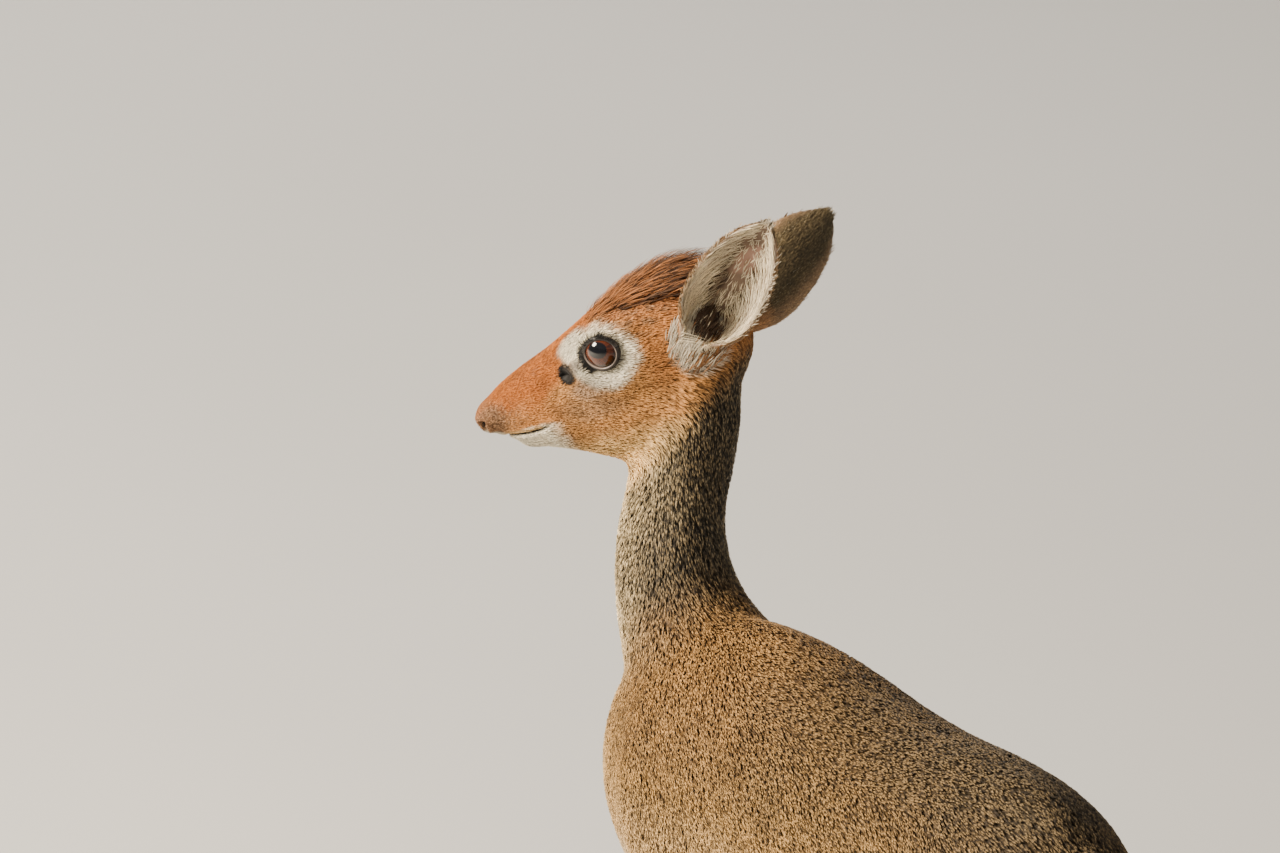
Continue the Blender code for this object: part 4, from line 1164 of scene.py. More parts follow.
@dataclass
class Surface:
    """A skin read as triangles, for placing tufts on it."""

    piece: Object

    def __post_init__(self) -> None:
        """Reads the triangles, their areas and unwrap, and makes the search tree."""
        mesh = self.piece.data
        mesh.calc_loop_triangles()
        self.points, self.normals = read_points(mesh), read_normals(mesh)
        self.corners = table_of(mesh.loop_triangles, "vertices", 3, np.int32)
        loops = table_of(mesh.loop_triangles, "loops", 3, np.int32)
        self.maps = table_of(mesh.uv_layers["OFBake"].uv, "vector", 2)[loops]
        a, b, c = (self.points[self.corners[:, k]] for k in range(3))
        across = np.cross(b - a, c - a)
        self.areas = np.linalg.norm(across, axis=1) / 2 / MM**2
        self.flat_normals = unit(across)
        self.centres = (a + b + c) / 3
        self.tree = BVHTree.FromPolygons(self.points.tolist(), self.corners.tolist())

    def spread(self, share: Array, count: int) -> Array:
        """The density that brings a number of roots, shared out between the triangles."""
        return share * count / (share * self.areas).sum()

    def roots(self, density: Array, seed: int) -> tuple[Array, Array, Array, np.random.Generator]:
        """Random places on the skin.

        Args:
            density: roots for each square millimetre of each triangle.
            seed: of the random draw.

        Returns:
            Places, normals, places on the unwrap, and a generator for whatever grows there.
        """
        rng = np.random.default_rng(seed)
        expected = density * self.areas
        total = int(expected.sum())
        chosen = rng.choice(len(expected), size=total, p=expected / expected.sum())
        split = rng.random((total, 2))
        split = np.where(split.sum(1, keepdims=True) > 1, 1 - split, split)
        shares = np.column_stack([1 - split.sum(1), split])[:, :, None]
        corners = self.corners[chosen]
        places = (self.points[corners] * shares).sum(1)
        normals = unit((self.normals[corners] * shares).sum(1))
        return places, normals, (self.maps[chosen] * shares).sum(1), np.random.default_rng(seed + 1)

    def nearest(self, points: Array) -> tuple[Array, Array]:
        """The nearest places on the skin, and its normals there."""
        found = [self.tree.find_nearest(point)[:2] for point in points.tolist()]
        pairs = np.array([(*place, *normal) for place, normal in found])
        return pairs[:, :3], pairs[:, 3:]

    def settle(self, points: Array, heights: Array) -> Array:
        """Points brought to given heights in millimetres over the nearest skin."""
        places, normals = self.nearest(points)
        return moved(places, normals, heights)


@dataclass
class Tufts:
    """Many tapered tufts in one mesh, each a bent, ridged blade that ends in a point."""

    name: str
    root: Array
    middle: Array
    tip: Array
    normal: Array
    width: Array
    colour: Array
    unwrap: Array
    seed: Array
    rows: tuple = (0.0, 0.42, 0.76)
    shares: tuple = (0.75, 1.0, 0.66)
    ridge: float = 0.28
    sunk: float = 0.45
    # The side of a tuft's own square on the shared unwrap
    patch: float = 0.003

    def build(self, finish: CoatFinish, slot: str) -> None:
        """Makes the joined mesh with its paint, strand marks and unwrap."""
        count, each = len(self.root), len(self.rows) * 3 + 1
        root = self.root - self.normal * self.sunk * MM
        bend = 2 * self.middle - (root + self.tip) / 2
        run = unit(self.tip - root)
        aside = unit(np.cross(self.normal, run))
        over = np.cross(run, aside)
        points, marks = np.empty((count, each, 3)), np.empty((count, each, 3))
        maps = np.empty((count, each, 2))
        for k, (t, share) in enumerate(zip(self.rows, self.shares)):
            centre = root * (1 - t) ** 2 + bend * 2 * t * (1 - t) + self.tip * t**2
            half = aside * (self.width * share / 2 * MM)[:, None]
            crest = over * (self.width * share * self.ridge * MM)[:, None]
            for column, across in enumerate((-1, 0, 1), k * 3):
                points[:, column] = centre + half * across + crest * (across == 0)
                marks[:, column, :2] = (t, across)
                maps[:, column] = (0.5 * across, t - 0.5)
        points[:, -1] = self.tip
        marks[:, -1, :2] = (1.0, 0.0)
        marks[:, :, 2] = self.seed[:, None]
        maps[:, -1] = (0.0, 0.5)
        mesh = self._mesh(points.reshape(-1, 3), count, each)
        Mark.COLOUR.write(mesh, np.repeat(np.clip(self.colour, 0, 1), each, axis=0))
        Mark.STRAND.write(mesh, marks)
        maps = (self.unwrap[:, None] + maps * self.patch).reshape(-1, 2)
        corners = table_of(mesh.loops, "vertex_index", 1, np.int32)[:, 0]
        mesh.uv_layers.new(name="OFBake").uv.foreach_set("vector", maps[corners].astype(np.float32).ravel())
        keep(new_object(self.name, mesh, finish))

    def _mesh(self, points: Array, count: int, each: int) -> Mesh:
        """The joined blades as quads, closed at the point by triangles."""
        # The first point of the last row; the tuft's end is its very last point
        last = each - 4
        lows = [k + column for k in range(0, last, 3) for column in (0, 1)]
        faces = [(low, low + 3, low + 4, low + 1) for low in lows]
        faces += [(last, each - 1, last + 1), (last + 1, each - 1, last + 2)]
        corners = (np.concatenate(faces) + np.arange(count)[:, None] * each).ravel()
        ends = np.cumsum(np.tile([len(face) for face in faces], count))
        mesh = bpy.data.meshes.new(self.name)
        mesh.vertices.add(len(points))
        mesh.vertices.foreach_set("co", points.astype(np.float32).ravel())
        mesh.loops.add(len(corners))
        mesh.loops.foreach_set("vertex_index", corners.astype(np.int32))
        mesh.polygons.add(len(ends))
        mesh.polygons.foreach_set("loop_start", np.concatenate([[0], ends[:-1]]).astype(np.int32))
        mesh.update(calc_edges=True)
        return mesh


REGION_HAIR = {
    Region.FACE: CoatFinish("face_hair", fleck_size=1150.0, root_shade=0.55, ticking=0.82),
    Region.NECK: CoatFinish("neck_hair", fleck_size=950.0, root_shade=0.34, ticking=1.25,
                            stretch=(1.0, 1.0, 0.55)),
    Region.BODY: CoatFinish("body_hair", fleck_size=1150.0, root_shade=0.40, ticking=1.2),
    Region.LEG: CoatFinish("leg_hair", fleck_size=1100.0, root_shade=0.58, ticking=0.9),
}


@dataclass
class Coat:
    """The short coat over the whole skin, in pieces by region."""

    surface: Surface
    cover: float = 1.50
    most_in_piece: int = 30000
    rows: tuple = (0.0, 0.55)
    shares: tuple = (0.8, 1.0)

    def build(self) -> None:
        """Roots, lays and files every tuft of the short coat."""
        centres = self.surface.centres
        sizes = LIE.read(centres)[1]
        density = self.cover / (sizes[:, 0] * sizes[:, 1] * 0.5) * (1 - self._bare(centres))
        places, normals, maps, rng = self.surface.roots(density, 11)
        count = len(places)
        ways, sizes = LIE.read(places)
        ways = along_skin(ways + rng.normal(scale=0.10, size=(count, 3)), normals)
        length = sizes[:, 0] * rng.uniform(0.75, 1.2, count)
        lift = sizes[:, 2] * rng.uniform(0.7, 1.15, count)
        middle = self.surface.settle(moved(places, ways, length * 0.55), lift)
        tip = self.surface.settle(moved(places, ways, length), lift * rng.uniform(0.7, 1.25, count))
        colour = MARKINGS.paint(places)
        colour[:, :3] *= rng.normal(1.0, 0.10, (count, 1))
        width = sizes[:, 1] * rng.uniform(0.75, 1.2, count)
        columns = (places, middle, tip, normals, width, colour, maps, rng.random(count))
        regions = self._regions(places)
        for region, finish in REGION_HAIR.items():
            chosen = np.nonzero(regions == region.value)[0]
            pieces = max(1, math.ceil(len(chosen) / self.most_in_piece))
            for number, part in enumerate(np.array_split(chosen, pieces), 1):
                tufts = Tufts(f"{region.value}_{number}", *(column[part] for column in columns),
                              rows=self.rows, shares=self.shares)
                tufts.build(finish, region.value)

    @staticmethod
    def _bare(points: Array) -> Array:
        """1 where there is no hair: lids, glands, nostrils, mouth line and the floor of the ears' cups."""
        head = HEAD.to_head(points)
        bare = (LIDS.bare(head) > 0.8) | (nostril_mask(head) > 0.02) | (mouth_distance(head) < 0.7)
        bare |= reach(mirrored(head), GLAND, (1, 1.6, 0.9)) < 4.6
        for ear in EARS.values():
            bare |= ear.hollow(head) > 0.4
        return (bare & (head_share(head) > 0.5)).astype(float)

    @staticmethod
    def _regions(points: Array) -> Array:
        """The name of each place's region."""
        body, head = HEAD.to_body(points), HEAD.to_head(points)
        names = np.full(len(points), Region.BODY.value, dtype=object)
        names[body[:, 2] < 200] = Region.LEG.value
        slope = (body[:, 2] - 306) - (body[:, 0] + 66) * (372 - 306) / (22 + 66)
        names[(slope > 0) & (body[:, 0] < 40)] = Region.NECK.value
        names[head_share(head) > 0.5] = Region.FACE.value
        return names


@dataclass
class Crest:
    """The tuft on the crown: long hair that lies back between the ears and lifts towards its tips."""

    surface: Surface
    count: int = 3500
    rows: tuple = (0.0, 0.22, 0.45, 0.68, 0.87)
    shares: tuple = (0.7, 1.0, 0.95, 0.75, 0.42)
    rufous: tuple = (0.40, 0.150, 0.045, 0.6)
    black: tuple = (0.030, 0.020, 0.014, 0.2)

    def build(self) -> None:
        """Roots and lays the crest."""
        head = HEAD.to_head(self.surface.centres)
        lean = np.abs(np.arctan2(head[:, 1], np.maximum(head[:, 2] - 7, 1e-6)))
        share = smooth_step(head[:, 0], -18, -8) * smooth_step(head[:, 0], 56, 34)
        share = share * smooth_step(lean, 0.82, 0.45)
        share *= (head[:, 2] > 18) * (0.55 + 0.45 * smooth_step(head[:, 0], 45, 15))
        places, normals, maps, rng = self.surface.roots(self.surface.spread(share, self.count), 21)
        count = len(places)
        head = HEAD.to_head(places)
        back = smooth_step(head[:, 0], 50, -5)
        ways = np.stack([-np.ones(count), head[:, 1] * 0.006 + rng.normal(scale=0.10, size=count),
                         rng.normal(scale=0.06, size=count)], 1)
        ways = along_skin(HEAD.turn_from_head(ways), normals)
        length = (12 + 11 * back) * rng.uniform(0.7, 1.15, count)
        height = (2.6 + 6.0 * back**1.2) * (0.30 + 1.25 * rng.random(count) ** 1.8)
        middle = self.surface.settle(moved(places, ways, length * 0.5), height * 0.55 + 0.9)
        tip = self.surface.settle(moved(places, ways, length), height)
        clumps = wobble(head * np.array((0.3, 1.0, 1.0)), 6, 7)
        dark = (rng.random(count) < 0.25 + 0.46 * back + 0.20 * clumps)[:, None]
        strands = np.where(dark, self.black, np.array(self.rufous) * rng.uniform(0.55, 1.35, (count, 1)))
        colour = MARKINGS.paint(places) * 0.2 + 0.8 * strands
        tufts = Tufts("crest", places, middle, tip, normals, rng.uniform(0.26, 0.52, count), colour, maps,
                      rng.random(count), rows=self.rows, shares=self.shares)
        finish = CoatFinish("crest_hair", fleck_size=300.0, root_shade=0.35, ticking=0.3)
        tufts.build(finish, Region.FACE.value)


@dataclass
class Eye:
    """One eyeball with its lids and lashes."""

    side: str
    bulge: float = 0.55
    around: int = 128
    # Across a lid: share of the way out from the opening's edge, distance from the eye's centre
    profile: tuple = (
        (0.00, 10.66), (-0.012, 10.95), (0.0, 11.35), (0.03, 11.62), (0.07, 11.74), (0.11, 11.76),
        (0.155, 11.64),
        (0.20, 11.78), (0.27, 11.70), (0.34, 11.45), (0.42, 11.00), (0.32, 10.72), (0.14, 10.62),
    )

    def build(self) -> None:
        """Makes the eyeball, lids and lashes."""
        self._ball()
        self._lids()
        self._lashes()

    def gaze(self) -> Vector:
        """The way the eye looks, in the head's frame."""
        way = Vector((0.10, 0.95, 0.28)).normalized()
        return Vector((way.x, way.y if self.side == "left" else -way.y, way.z))

    def _ball(self) -> None:
        """The eyeball, fuller over the iris, with its distance from the gaze marked on it."""
        bm = bmesh.new()
        bmesh.ops.create_uvsphere(bm, u_segments=96, v_segments=64, radius=LIDS.ball * MM)
        gaze = self.gaze()
        bmesh.ops.rotate(bm, verts=bm.verts, matrix=gaze.to_track_quat("Z", "Y").to_matrix())
        mesh = poured(bm, "eyeball_" + self.side)
        points = read_points(mesh) / MM
        ways = unit(points)
        angle = np.arccos(np.clip(ways @ np.array(gaze), -1, 1))
        points *= (1 + self.bulge / LIDS.ball * smooth_step(angle, 0.85, 0.15))[:, None]
        # The pupil's long way stays level though the nose points down.
        level = Vector((math.cos(HEAD.pitch), 0, math.sin(HEAD.pitch)))
        level = (level - gaze * level.dot(gaze)).normalized()
        turn = np.arctan2(ways @ np.array(gaze.cross(level)), ways @ np.array(level))
        oval = np.sqrt((np.cos(turn) / 1.28) ** 2 + (np.sin(turn) / 0.86) ** 2)
        shaped = angle * (oval * smooth_step(angle, 0.6, 0.3) + smooth_step(angle, 0.3, 0.6))
        Mark.GAZE.write(mesh, np.stack([np.cos(turn), np.sin(turn), shaped], 1))
        centre = EYE_SPOT * np.array((1, 1 if self.side == "left" else -1, 1))
        write_points(mesh, HEAD.from_head(points + centre))
        with opened(mesh) as bm:
            bmesh.ops.recalc_face_normals(bm, faces=bm.faces)
        keep(new_object("eyeball_" + self.side, mesh, EyeFinish()), ("eye_" + self.side,))

    def _lids(self) -> None:
        """A closed band of bare skin round the opening, with a fold in the upper lid."""
        turns = np.arange(self.around) * math.tau / self.around
        upper = smooth_step(np.sin(turns), -0.1, 0.5)
        edge = LIDS.edge(turns)
        bm = bmesh.new()
        rings, tears = [], []
        for i, (out, radius) in enumerate(self.profile):
            angle = edge * (1 + out * (0.85 + 0.75 * np.maximum(np.cos(turns - 0.15), 0) ** 3))
            far = radius + upper * (0.22 if 3 <= i <= 5 else -0.10 if i == 6 else 0.0)
            far = far + 0.10 * np.sin(turns * 9 + i) * (0.25 < out < 0.6)
            ring = HEAD.from_head(LIDS.place(turns, angle, far, self.side))
            rings.append([bm.verts.new(point) for point in ring])
            tears.append((1 - upper) * (0.6 if i in (0, 1) else 0.3 if i == 2 else 0.0))
        for low, high in zip(rings, rings[1:] + rings[:1]):
            for i in range(self.around):
                j = (i + 1) % self.around
                bm.faces.new((low[i], low[j], high[j], high[i]))
        bmesh.ops.recalc_face_normals(bm, faces=bm.faces)
        mesh = poured(bm, "lids_" + self.side)
        Mark.TEAR.write(mesh, np.concatenate(tears))
        keep(new_object("lids_" + self.side, mesh, LidFinish()))

    def _lashes(self) -> None:
        """Two rows of curved black lashes on the upper lid and a few on the lower."""
        rng = np.random.default_rng(31 if self.side == "left" else 32)
        turns = np.concatenate([rng.uniform(0.0, 2.9, 84), rng.uniform(-2.6, -0.3, 22)])
        upper = turns > 0
        count = len(turns)
        edge = LIDS.edge(turns)
        spread = turns + rng.normal(scale=0.10, size=count)
        above = rng.uniform(3.4, 5.8, count) * (0.7 + 0.3 * smooth_step(np.cos(turns), -0.6, 0.6))
        long = np.where(upper, above, rng.uniform(1.4, 2.2, count))
        root = LIDS.place(turns, edge * 1.03, np.full(count, 11.5), self.side)
        middle = LIDS.place(spread, edge * np.where(upper, 1.13, 1.20), 11.5 + long * 0.55, self.side)
        tip = LIDS.place(spread + 0.05, edge * np.where(upper, 1.50, 1.44), 11.5 + long * 0.70, self.side)
        places = [HEAD.from_head(part) for part in (root, middle, tip)]
        normals = unit(places[0] - np.array(HEAD.eye(self.side)))
        colour = np.tile(np.array((0.008, 0.007, 0.006, 0.0)), (count, 1))
        maps = np.stack([0.5 + 0.4 * np.cos(turns), 0.5 + 0.4 * np.sin(turns)], 1)
        tufts = Tufts("lashes_" + self.side, *places, normals, np.full(count, 0.26), colour, maps,
                      rng.random(count), sunk=0.1)
        tufts.build(CoatFinish("lash_hair", ticking=0.0, root_shade=1.0, roughness=0.4), Region.FACE.value)


class EarHair(Enum):
    """The three coats of an ear."""

    BACK = "back"
    CUP = "cup"
    RIM = "rim"


@dataclass
class Ear:
    """One cupped ear: a thin shell with short hair behind and long pale hair inside."""

    side: str
    shape: EarShape
    skin: Surface
    sink: float = 4.5
    thinning: float = 0.40
    buried: float = -7.0
    free: float = 25.0

    def __post_init__(self) -> None:
        """Finds which way across the ear is its front edge."""
        self.front = -1 if self.side == "left" else 1

    def build(self) -> None:
        """Makes the shell and both coats."""
        mesh = remeshed(solid_copy("ear_" + self.side, 0.1), 0.75, 3, "ear_skin_" + self.side)
        points = read_points(mesh)
        write_points(mesh, relax(mesh, points, np.full(len(points), 0.5), 2))
        points -= read_normals(mesh) * self.thinning * MM
        spot = self.shape.spot(HEAD.to_head(points))
        down = HEAD.turn_from_head(self.shape.axes[:1])
        points -= down * (self.sink * smooth_step(spot[:, 0], 12, 2) * MM)[:, None]
        write_points(mesh, self._run_into_head(points))
        Mark.COLOUR.write(mesh, self.paint(points, read_normals(mesh)))
        finish = CoatFinish("ear_skin", on_tufts=False, fleck_size=900.0, ticking=0.7)
        piece = new_object("ear_skin_" + self.side, mesh, finish)
        unwrap(piece)
        keep(piece, ("ear_" + self.side,))
        self._hair(Surface(piece))
        self._plume()

    def _run_into_head(self, points: Array) -> Array:
        """Lets the rims sink into the head's skin towards the ear's root, each by its height over it."""
        low = np.nonzero(self.shape.spot(HEAD.to_head(points))[:, 0] < self.free)[0]
        along = self.shape.spot(HEAD.to_head(points[low]))[:, 0]
        share = smooth_step(along, self.buried, self.free)
        places, normals = self.skin.nearest(points[low])
        height = ((points[low] - places) * normals).sum(1)
        wanted = np.where(height > 0, height * share - 0.8 * (1 - share) * MM, height)
        points[low] = points[low] + normals * (wanted - height)[:, None]
        return points

    def paint(self, points: Array, normals: Array) -> Array:
        """Colours of the ear: pale pinkish inside with painted shade deepening towards its middle and bottom,
        grizzled behind, dark at the rim.
        """
        place = self.shape.local(points)
        uneven = place + wobble(HEAD.to_head(points), 12, 5)[:, None] * 0.05
        share, across = uneven[:, 0], np.abs(uneven[:, 1])
        inside_cup = self.shape.inner(points, normals)[:, None]
        cup = np.tile(np.array((0.56, 0.42, 0.32, 0.15)), (len(points), 1))
        # Painted shade: darker towards the cup's middle, two dark lines, a darker furrow down its front and
        # black at its bottom; the pink spot is the skin's own.
        Markings.lay(cup, (0.27, 0.175, 0.12), 0.1, 0.8 * smooth_step(across, 0.75, 0.35))
        Markings.lay(cup, (0.60, 0.36, 0.27), 0.0, smooth_step(np.abs(share - 0.62), 0.16, 0.05)
                      * smooth_step(across, 0.35, 0.1))
        Markings.lay(cup, (0.10, 0.065, 0.045), 0.1, smooth_step(np.abs(across - 0.38), 0.14, 0.04)
                      * smooth_step(share, 0.80, 0.55))
        shaded_channel = smooth_step(np.abs(uneven[:, 1] * self.front - 0.42), 0.32, 0.12)
        shaded_channel = shaded_channel * smooth_step(share, 0.66, 0.42)
        Markings.lay(cup, (0.045, 0.028, 0.020), 0.1, 0.9 * shaded_channel)
        Markings.lay(cup, MARKINGS.black, 0.0, smooth_step(share, 0.20, 0.08) * smooth_step(across, 0.6, 0.3))
        back = np.tile(np.array((0.135, 0.098, 0.048, 0.6)), (len(points), 1))
        Markings.lay(back, (0.36, 0.225, 0.12), 0.4, smooth_step(across, 0.55, 0.95))
        Markings.lay(back, (0.46, 0.22, 0.085), 0.4, smooth_step(share, 0.30, 0.08))
        pale_root = smooth_step(share, 0.16, 0.04) * smooth_step(place[:, 2], 8, 14)
        Markings.lay(back, MARKINGS.ear_root, 0.1, pale_root)
        colour = np.where(inside_cup, cup, back)
        edge = np.maximum(smooth_step(np.abs(place[:, 1]), 0.95, 1.02),
                          smooth_step(place[:, 0], 0.975, 0.995))
        Markings.lay(colour, (0.11, 0.075, 0.05), 0.2, 0.6 * edge * smooth_step(place[:, 0], 0.35, 0.6))
        return colour

    def _hair(self, surface: Surface) -> None:
        """Short hair behind the ear and along its rim, and long hair inside from its edges."""
        share, across, _ = self.shape.local(surface.centres).T
        across = np.abs(across)
        cup = self.shape.inner(surface.centres, surface.flat_normals)
        seed = 41 if self.side == "left" else 51
        self._lay(surface, np.where(cup, 0.0, 0.85), seed, EarHair.BACK)
        edges = smooth_step(across, 0.35, 0.75) * smooth_step(share, 1.0, 0.9)
        base = smooth_step(share, 0.40, 0.12)
        density = np.where(cup, 0.22 + 0.42 * np.maximum(edges, base * 0.8), 0.0)
        self._lay(surface, density, seed + 3, EarHair.CUP)
        rim = np.maximum(smooth_step(across, 0.80, 0.93), smooth_step(share, 0.93, 0.97)) * (share > 0.1)
        self._lay(surface, rim * 1.1, seed + 6, EarHair.RIM)

    def _lay(self, surface: Surface, density: Array, seed: int, kind: EarHair) -> None:
        """Roots and lays one of the ear's coats."""
        places, normals, maps, rng = surface.roots(density, seed)
        count = len(places)
        spot = self.shape.local(places)
        axis, aside, face = HEAD.turn_from_head(self.shape.axes)
        if kind is EarHair.BACK:
            ways = axis + aside * (np.sign(spot[:, 1]) * 0.25 * np.abs(spot[:, 1]))[:, None]
            length, width, lift = rng.uniform(2.6, 4.2, count), rng.uniform(0.32, 0.52, count), 0.35
            colour = self.paint(places, normals)
        elif kind is EarHair.RIM:
            out = aside * (np.sign(spot[:, 1]) * smooth_step(np.abs(spot[:, 1]), 0.6, 0.95))[:, None]
            ways = axis * 0.8 + out * 0.32 + face * rng.normal(0.22, 0.25, (count, 1))
            length, width, lift = rng.uniform(2.8, 5.2, count), rng.uniform(0.28, 0.45, count), 0.45
            inner = self.shape.inner(places, normals)[:, None]
            colour = np.where(inner, np.array((0.74, 0.64, 0.49, 0.1)), self.paint(places, normals) * 1.25)
        else:
            lean = np.sign(spot[:, 1]) * smooth_step(np.abs(spot[:, 1]), 0.15, 0.7)
            ways = axis * 0.75 - aside * (lean * 0.62)[:, None] + rng.normal(scale=0.14, size=(count, 3))
            edge = smooth_step(np.abs(spot[:, 1]), 0.3, 0.8)
            length = (6.0 + 7.5 * edge * (1 - 0.5 * spot[:, 0])) * rng.uniform(0.7, 1.2, count)
            width, lift = rng.uniform(0.28, 0.5, count), 0.9
            cream = np.tile(np.array((0.93, 0.80, 0.57, 0.03)), (count, 1))
            # Painted shade down the cup's furrow, carried onto its hair.
            shaded_channel = smooth_step(np.abs(spot[:, 1] * self.front - 0.40), 0.30, 0.14)
            shaded_channel = shaded_channel * smooth_step(spot[:, 0], 0.60, 0.40)
            Markings.lay(cream, (0.13, 0.080, 0.050), 0.1, 0.85 * shaded_channel)
            colour = np.where((rng.random(count) < 0.08)[:, None], np.array((0.36, 0.25, 0.16, 0.1)), cream)
            colour = colour * rng.uniform(0.80, 1.08, (count, 1))
        ways = along_skin(ways + rng.normal(scale=0.08, size=(count, 3)), normals)
        rises = lift * rng.uniform(0.6, 1.3, count)
        middle = surface.settle(moved(places, ways, length * 0.5) + normals * MM, rises)
        rises *= 1.2 if kind is EarHair.CUP else 0.8
        if kind is EarHair.RIM:
            tip = moved(moved(places, ways, length), normals, rises)
            middle = moved((places + tip) / 2, normals, rises * 0.4)
        else:
            tip = surface.settle(moved(places, ways, length) + normals * MM, rises)
        # A hair whose end has settled on the far wall of the cup is left out.
        bow = np.linalg.norm(middle - (places + tip) / 2, axis=1)
        kept = (np.linalg.norm(tip - places, axis=1) < length * 1.3 * MM) & (bow < length * 0.5 * MM)
        columns = (places, middle, tip, normals, width, colour, maps, rng.random(count))
        shade = 0.92 if kind is EarHair.CUP else 0.6
        tufts = Tufts(f"ear_{kind.value}_hair_{self.side}", *(column[kept] for column in columns), sunk=0.2)
        finish = CoatFinish(f"ear_{kind.value}_hair", fleck_size=900.0, root_shade=shade, ticking=0.9)
        tufts.build(finish, "ear_coat")

    def _plume(self) -> None:
        """Long hair from the head at the ear's root: dark in the bottom of the cup as painted shade, cream
        round its mouth.
        """
        head = HEAD.to_head(self.skin.centres)
        share = np.maximum(self.shape.mouth(head), self.shape.hollow(head)) * (head_share(head) > 0.5)
        places, normals, maps, rng = self.skin.roots(share * 1.35, 71)
        count = len(places)
        head = HEAD.to_head(places)
        across = self.shape.spot(head)[:, 1]
        # Hair in the bottom of the cup is dark: painted shade of the deep hollow.
        dark = self.shape.hollow(head) > 0.5
        axis, aside, _ = HEAD.turn_from_head(self.shape.axes)
        ways = axis + aside * (0.012 * across)[:, None] + rng.normal(scale=0.12, size=(count, 3))
        ways = unit(ways + normals * np.where(dark, 0.10, -0.10)[:, None])
        length = rng.uniform(6.5, 11, count)
        middle = moved(places, ways + normals * 0.16, length * 0.48)
        pale = np.array((0.88, 0.78, 0.60, 0.03))
        brown = np.where(dark[:, None], np.array((0.09, 0.055, 0.035, 0.1)),
                         np.array((0.42, 0.20, 0.08, 0.2)))
        ahead = smooth_step(across * self.front, -7, 3)
        within = smooth_step(self.shape.mouth(head), 0.1, 0.5)
        light = (rng.random(count) < np.where(dark, 0.06, (0.35 + 0.62 * ahead) * within))[:, None]
        colour = np.where(light, pale, brown) * rng.uniform(0.75, 1.1, (count, 1))
        tufts = Tufts("ear_plume_" + self.side, places, middle, moved(places, ways, length), normals,
                      rng.uniform(0.35, 0.6, count), colour, maps, rng.random(count), sunk=0.2)
        finish = CoatFinish("ear_plume_hair", fleck_size=900.0, root_shade=0.5, ticking=0.6)
        tufts.build(finish, "ear_coat")


@dataclass
class Feet:
    """The eight claws, rounded from their solids, and the small claws behind the pasterns."""

    voxel: float = 0.55
    ring_height: float = 0.12
    ring_gap: float = 2.3
    # Leg: forward place, outward place and height of the dewclaws
    dewclaws: tuple = (("fore", 44.0, 30.0, 30.5), ("hind", 325.3, 34.0, 33.5))
    dewclaw_radii: tuple = (2.8, 2.2, 4.6)
    dewclaw_tilt: float = math.radians(25)
    dewclaw_gap: float = 3.0
    # How far each foot stands back from its place in a square stance
    shifts: tuple = ((-9.0, 6.0), (8.0, -12.0))

    def build(self) -> None:
        """Makes every claw."""
        for leg, side, place in product(LEGS, SIDES, ("inner", "outer")):
            name = f"claw_{leg}_{side}_{place}"
            node = f"hoof_{leg}_{side}_{place}"
            mesh = remeshed(solid_copy(node), self.voxel, 3, name)
            points = read_points(mesh)
            floor = smooth_step(points[:, 2] / MM, 0.8, 0.3)
            points[:, 2] = points[:, 2] * (1 - floor)
            turns = points[:, 2] / MM * math.tau / self.ring_gap + wobble(points / MM, 9, 6)
            rings = self.ring_height * np.sin(turns)
            write_points(mesh, moved(points, read_normals(mesh), rings * (1 - floor)))
            keep(new_object(name, mesh, HornFinish()), (node,))
        for (leg, x, out, z), shifts in zip(self.dewclaws, self.shifts):
            for side, shift, sign in zip(SIDES, shifts, (-1, 1)):
                self._dewclaws(f"dewclaws_{leg}_{side}", Vector((x + shift, out * sign, z)))

    def _dewclaws(self, name: str, middle: Vector) -> None:
        """Two small blunt horn tips behind one pastern, in one mesh."""
        bm = bmesh.new()
        for away in (-self.dewclaw_gap, self.dewclaw_gap):
            centre = (middle + Vector((0, away, 0))) * MM + HEAD.shift()
            turn = Matrix.Rotation(self.dewclaw_tilt, 4, "Y")
            size = Matrix.Diagonal((*(radius * MM for radius in self.dewclaw_radii), 1.0))
            bmesh.ops.create_uvsphere(bm, u_segments=24, v_segments=16, radius=1.0,
                                      matrix=Matrix.Translation(centre) @ turn @ size)
        keep(new_object(name, poured(bm, name), HornFinish()))


@dataclass
class Whiskers:
    """A few fine pale hairs on the lips and chin."""

    surface: Surface
    count: int = 46
    width: float = 0.13
    pale: tuple = (0.50, 0.44, 0.36, 0.0)

    def build(self) -> None:
        """Roots and bends the whiskers."""
        head = HEAD.to_head(self.surface.centres)
        share = smooth_step(head[:, 0], 92, 100) * smooth_step(head[:, 0], 121, 115) * (head[:, 2] < -8)
        share *= np.abs(head[:, 1]) > 2
        places, normals, maps, rng = self.surface.roots(self.surface.spread(share, self.count), 61)
        count = len(places)
        back = HEAD.turn_from_head(np.array([(-0.5, 0.0, -0.25)]))
        length = rng.uniform(5, 11, count)
        ways = unit(normals + back * rng.uniform(0.5, 1.2, (count, 1)))
        middle = moved(places, unit(normals * 1.3 + back * 0.4), length * 0.5)
        colour = np.tile(np.array(self.pale), (count, 1))
        tufts = Tufts("whiskers", places, middle, moved(places, ways, length), normals,
                      np.full(count, self.width), colour, maps, rng.random(count), sunk=0.1)
        finish = CoatFinish("whisker_hair", ticking=0.0, root_shade=0.8, roughness=0.45)
        tufts.build(finish, Region.FACE.value)


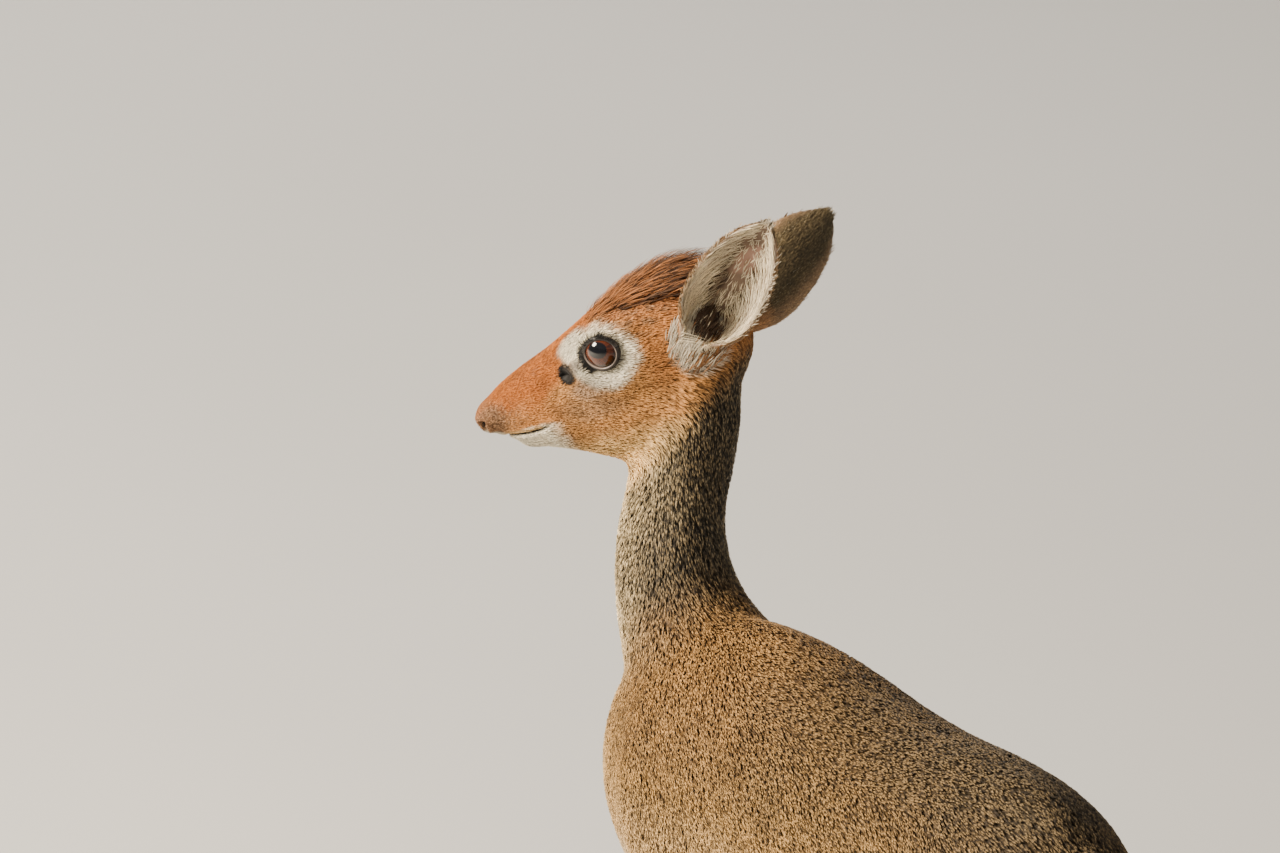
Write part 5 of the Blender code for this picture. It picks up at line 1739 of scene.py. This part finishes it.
@dataclass
class Studio:
    """Floor, soft light and the camera of the photographed view."""

    azimuth: float = 57.0
    elevation: float = 20.0
    distance: float = 6.5
    frame_width: float = 0.64
    aim_right: float = -38.2
    aim_up: float = 433.1
    aim_back: float = 100.0
    sensor: float = 36.0
    clip_end: float = 80.0
    # Floor, in metres: flat out to here, then an arc of this radius and a wall up to this height
    flat: float = 16.0
    cove: float = 4.0
    wall: float = 6.0
    arc_steps: int = 12
    round_steps: int = 96
    # Lamps: name, metres to the right, up and back from the aim, size, power and colour
    lamps: tuple = (
        ("key", (-2.1, 1.0, 0.9), 0.9, 205.0, (1.0, 0.87, 0.69)),
        ("fill", (2.4, 1.0, 1.8), 1.6, 11.0, (0.96, 0.97, 1.0)),
        ("rim", (-0.6, 1.6, -1.9), 1.2, 18.0, (1.0, 0.94, 0.86)),
    )
    sky: tuple = (0.90, 0.90, 0.90, 1.0)
    sky_strength: float = 0.35

    def axes(self) -> tuple[Vector, Vector, Vector]:
        """Right, up and back of the view."""
        turn, rise = math.radians(self.azimuth), math.radians(self.elevation)
        back = Vector((math.cos(rise) * math.sin(turn), -math.cos(rise) * math.cos(turn), math.sin(rise)))
        right = Vector((math.cos(turn), math.sin(turn), 0))
        return right, back.cross(right), back

    def build(self) -> None:
        """Places everything that isn't the animal."""
        self._camera()
        self._floor()
        self._lights()

    def _aim(self) -> Vector:
        """The point in the middle of the picture."""
        right, up, back = self.axes()
        return (right * self.aim_right + up * self.aim_up + back * self.aim_back) * MM + HEAD.shift()

    def _camera(self) -> None:
        """A long lens at the photograph's angle and framing."""
        right, up, back = self.axes()
        data = bpy.data.cameras.new("camera")
        data.sensor_width = self.sensor
        data.lens = self.sensor * self.distance / self.frame_width
        data.clip_end = self.clip_end
        camera = linked("camera", data)
        place = Matrix((right, up, back)).transposed().to_4x4()
        place.translation = self._aim() + back * self.distance
        camera.matrix_world = place
        bpy.context.scene.camera = camera

    def _floor(self) -> None:
        """A wide pale floor that curves up into a low wall all round, far behind the cameras."""
        bm = bmesh.new()
        turns = [math.pi / 2 * k / self.arc_steps for k in range(self.arc_steps + 1)]
        cove = [(self.flat + self.cove * math.sin(t), self.cove * (1 - math.cos(t))) for t in turns]
        profile = [bm.verts.new((x, 0, z)) for x, z in [(0, 0), *cove, (self.flat + self.cove, self.wall)]]
        edges = [bm.edges.new(pair) for pair in zip(profile, profile[1:])]
        bmesh.ops.spin(bm, geom=profile + edges, axis=(0, 0, 1), cent=(0, 0, 0), angle=math.tau,
                       steps=self.round_steps, use_merge=True)
        bmesh.ops.remove_doubles(bm, verts=bm.verts, dist=1e-5)
        new_object("floor", poured(bm, "floor"), FloorFinish())

    def _lights(self) -> None:
        """A warm key from the left of the view, a weak fill, a rim from behind and a pale sky."""
        right, up, back = self.axes()
        aim = self._aim()
        for name, (across, rise, behind), size, power, colour in self.lamps:
            data = bpy.data.lights.new(name, "AREA")
            data.size = size
            data.energy = power
            data.color = colour
            lamp = linked(name, data)
            lamp.location = aim + right * across + up * rise + back * behind
            lamp.rotation_euler = (aim - lamp.location).to_track_quat("-Z", "Y").to_euler()
        world = bpy.data.worlds.new("studio")
        world.use_nodes = True
        ground = world.node_tree.nodes["Background"]
        ground.inputs["Color"].default_value = self.sky
        ground.inputs["Strength"].default_value = self.sky_strength
        bpy.context.scene.world = world


def main() -> None:
    """Builds the animal and its studio in order."""
    logging.basicConfig(level=logging.INFO, format="%(message)s")
    Studio().build()
    skin = Surface(Skin().build())
    Coat(skin).build()
    Crest(skin).build()
    for side in SIDES:
        Eye(side).build()
    for side in SIDES:
        Ear(side, EARS[side], skin).build()
    Feet().build()
    Whiskers(skin).build()


if __name__ == "__main__":
    main()
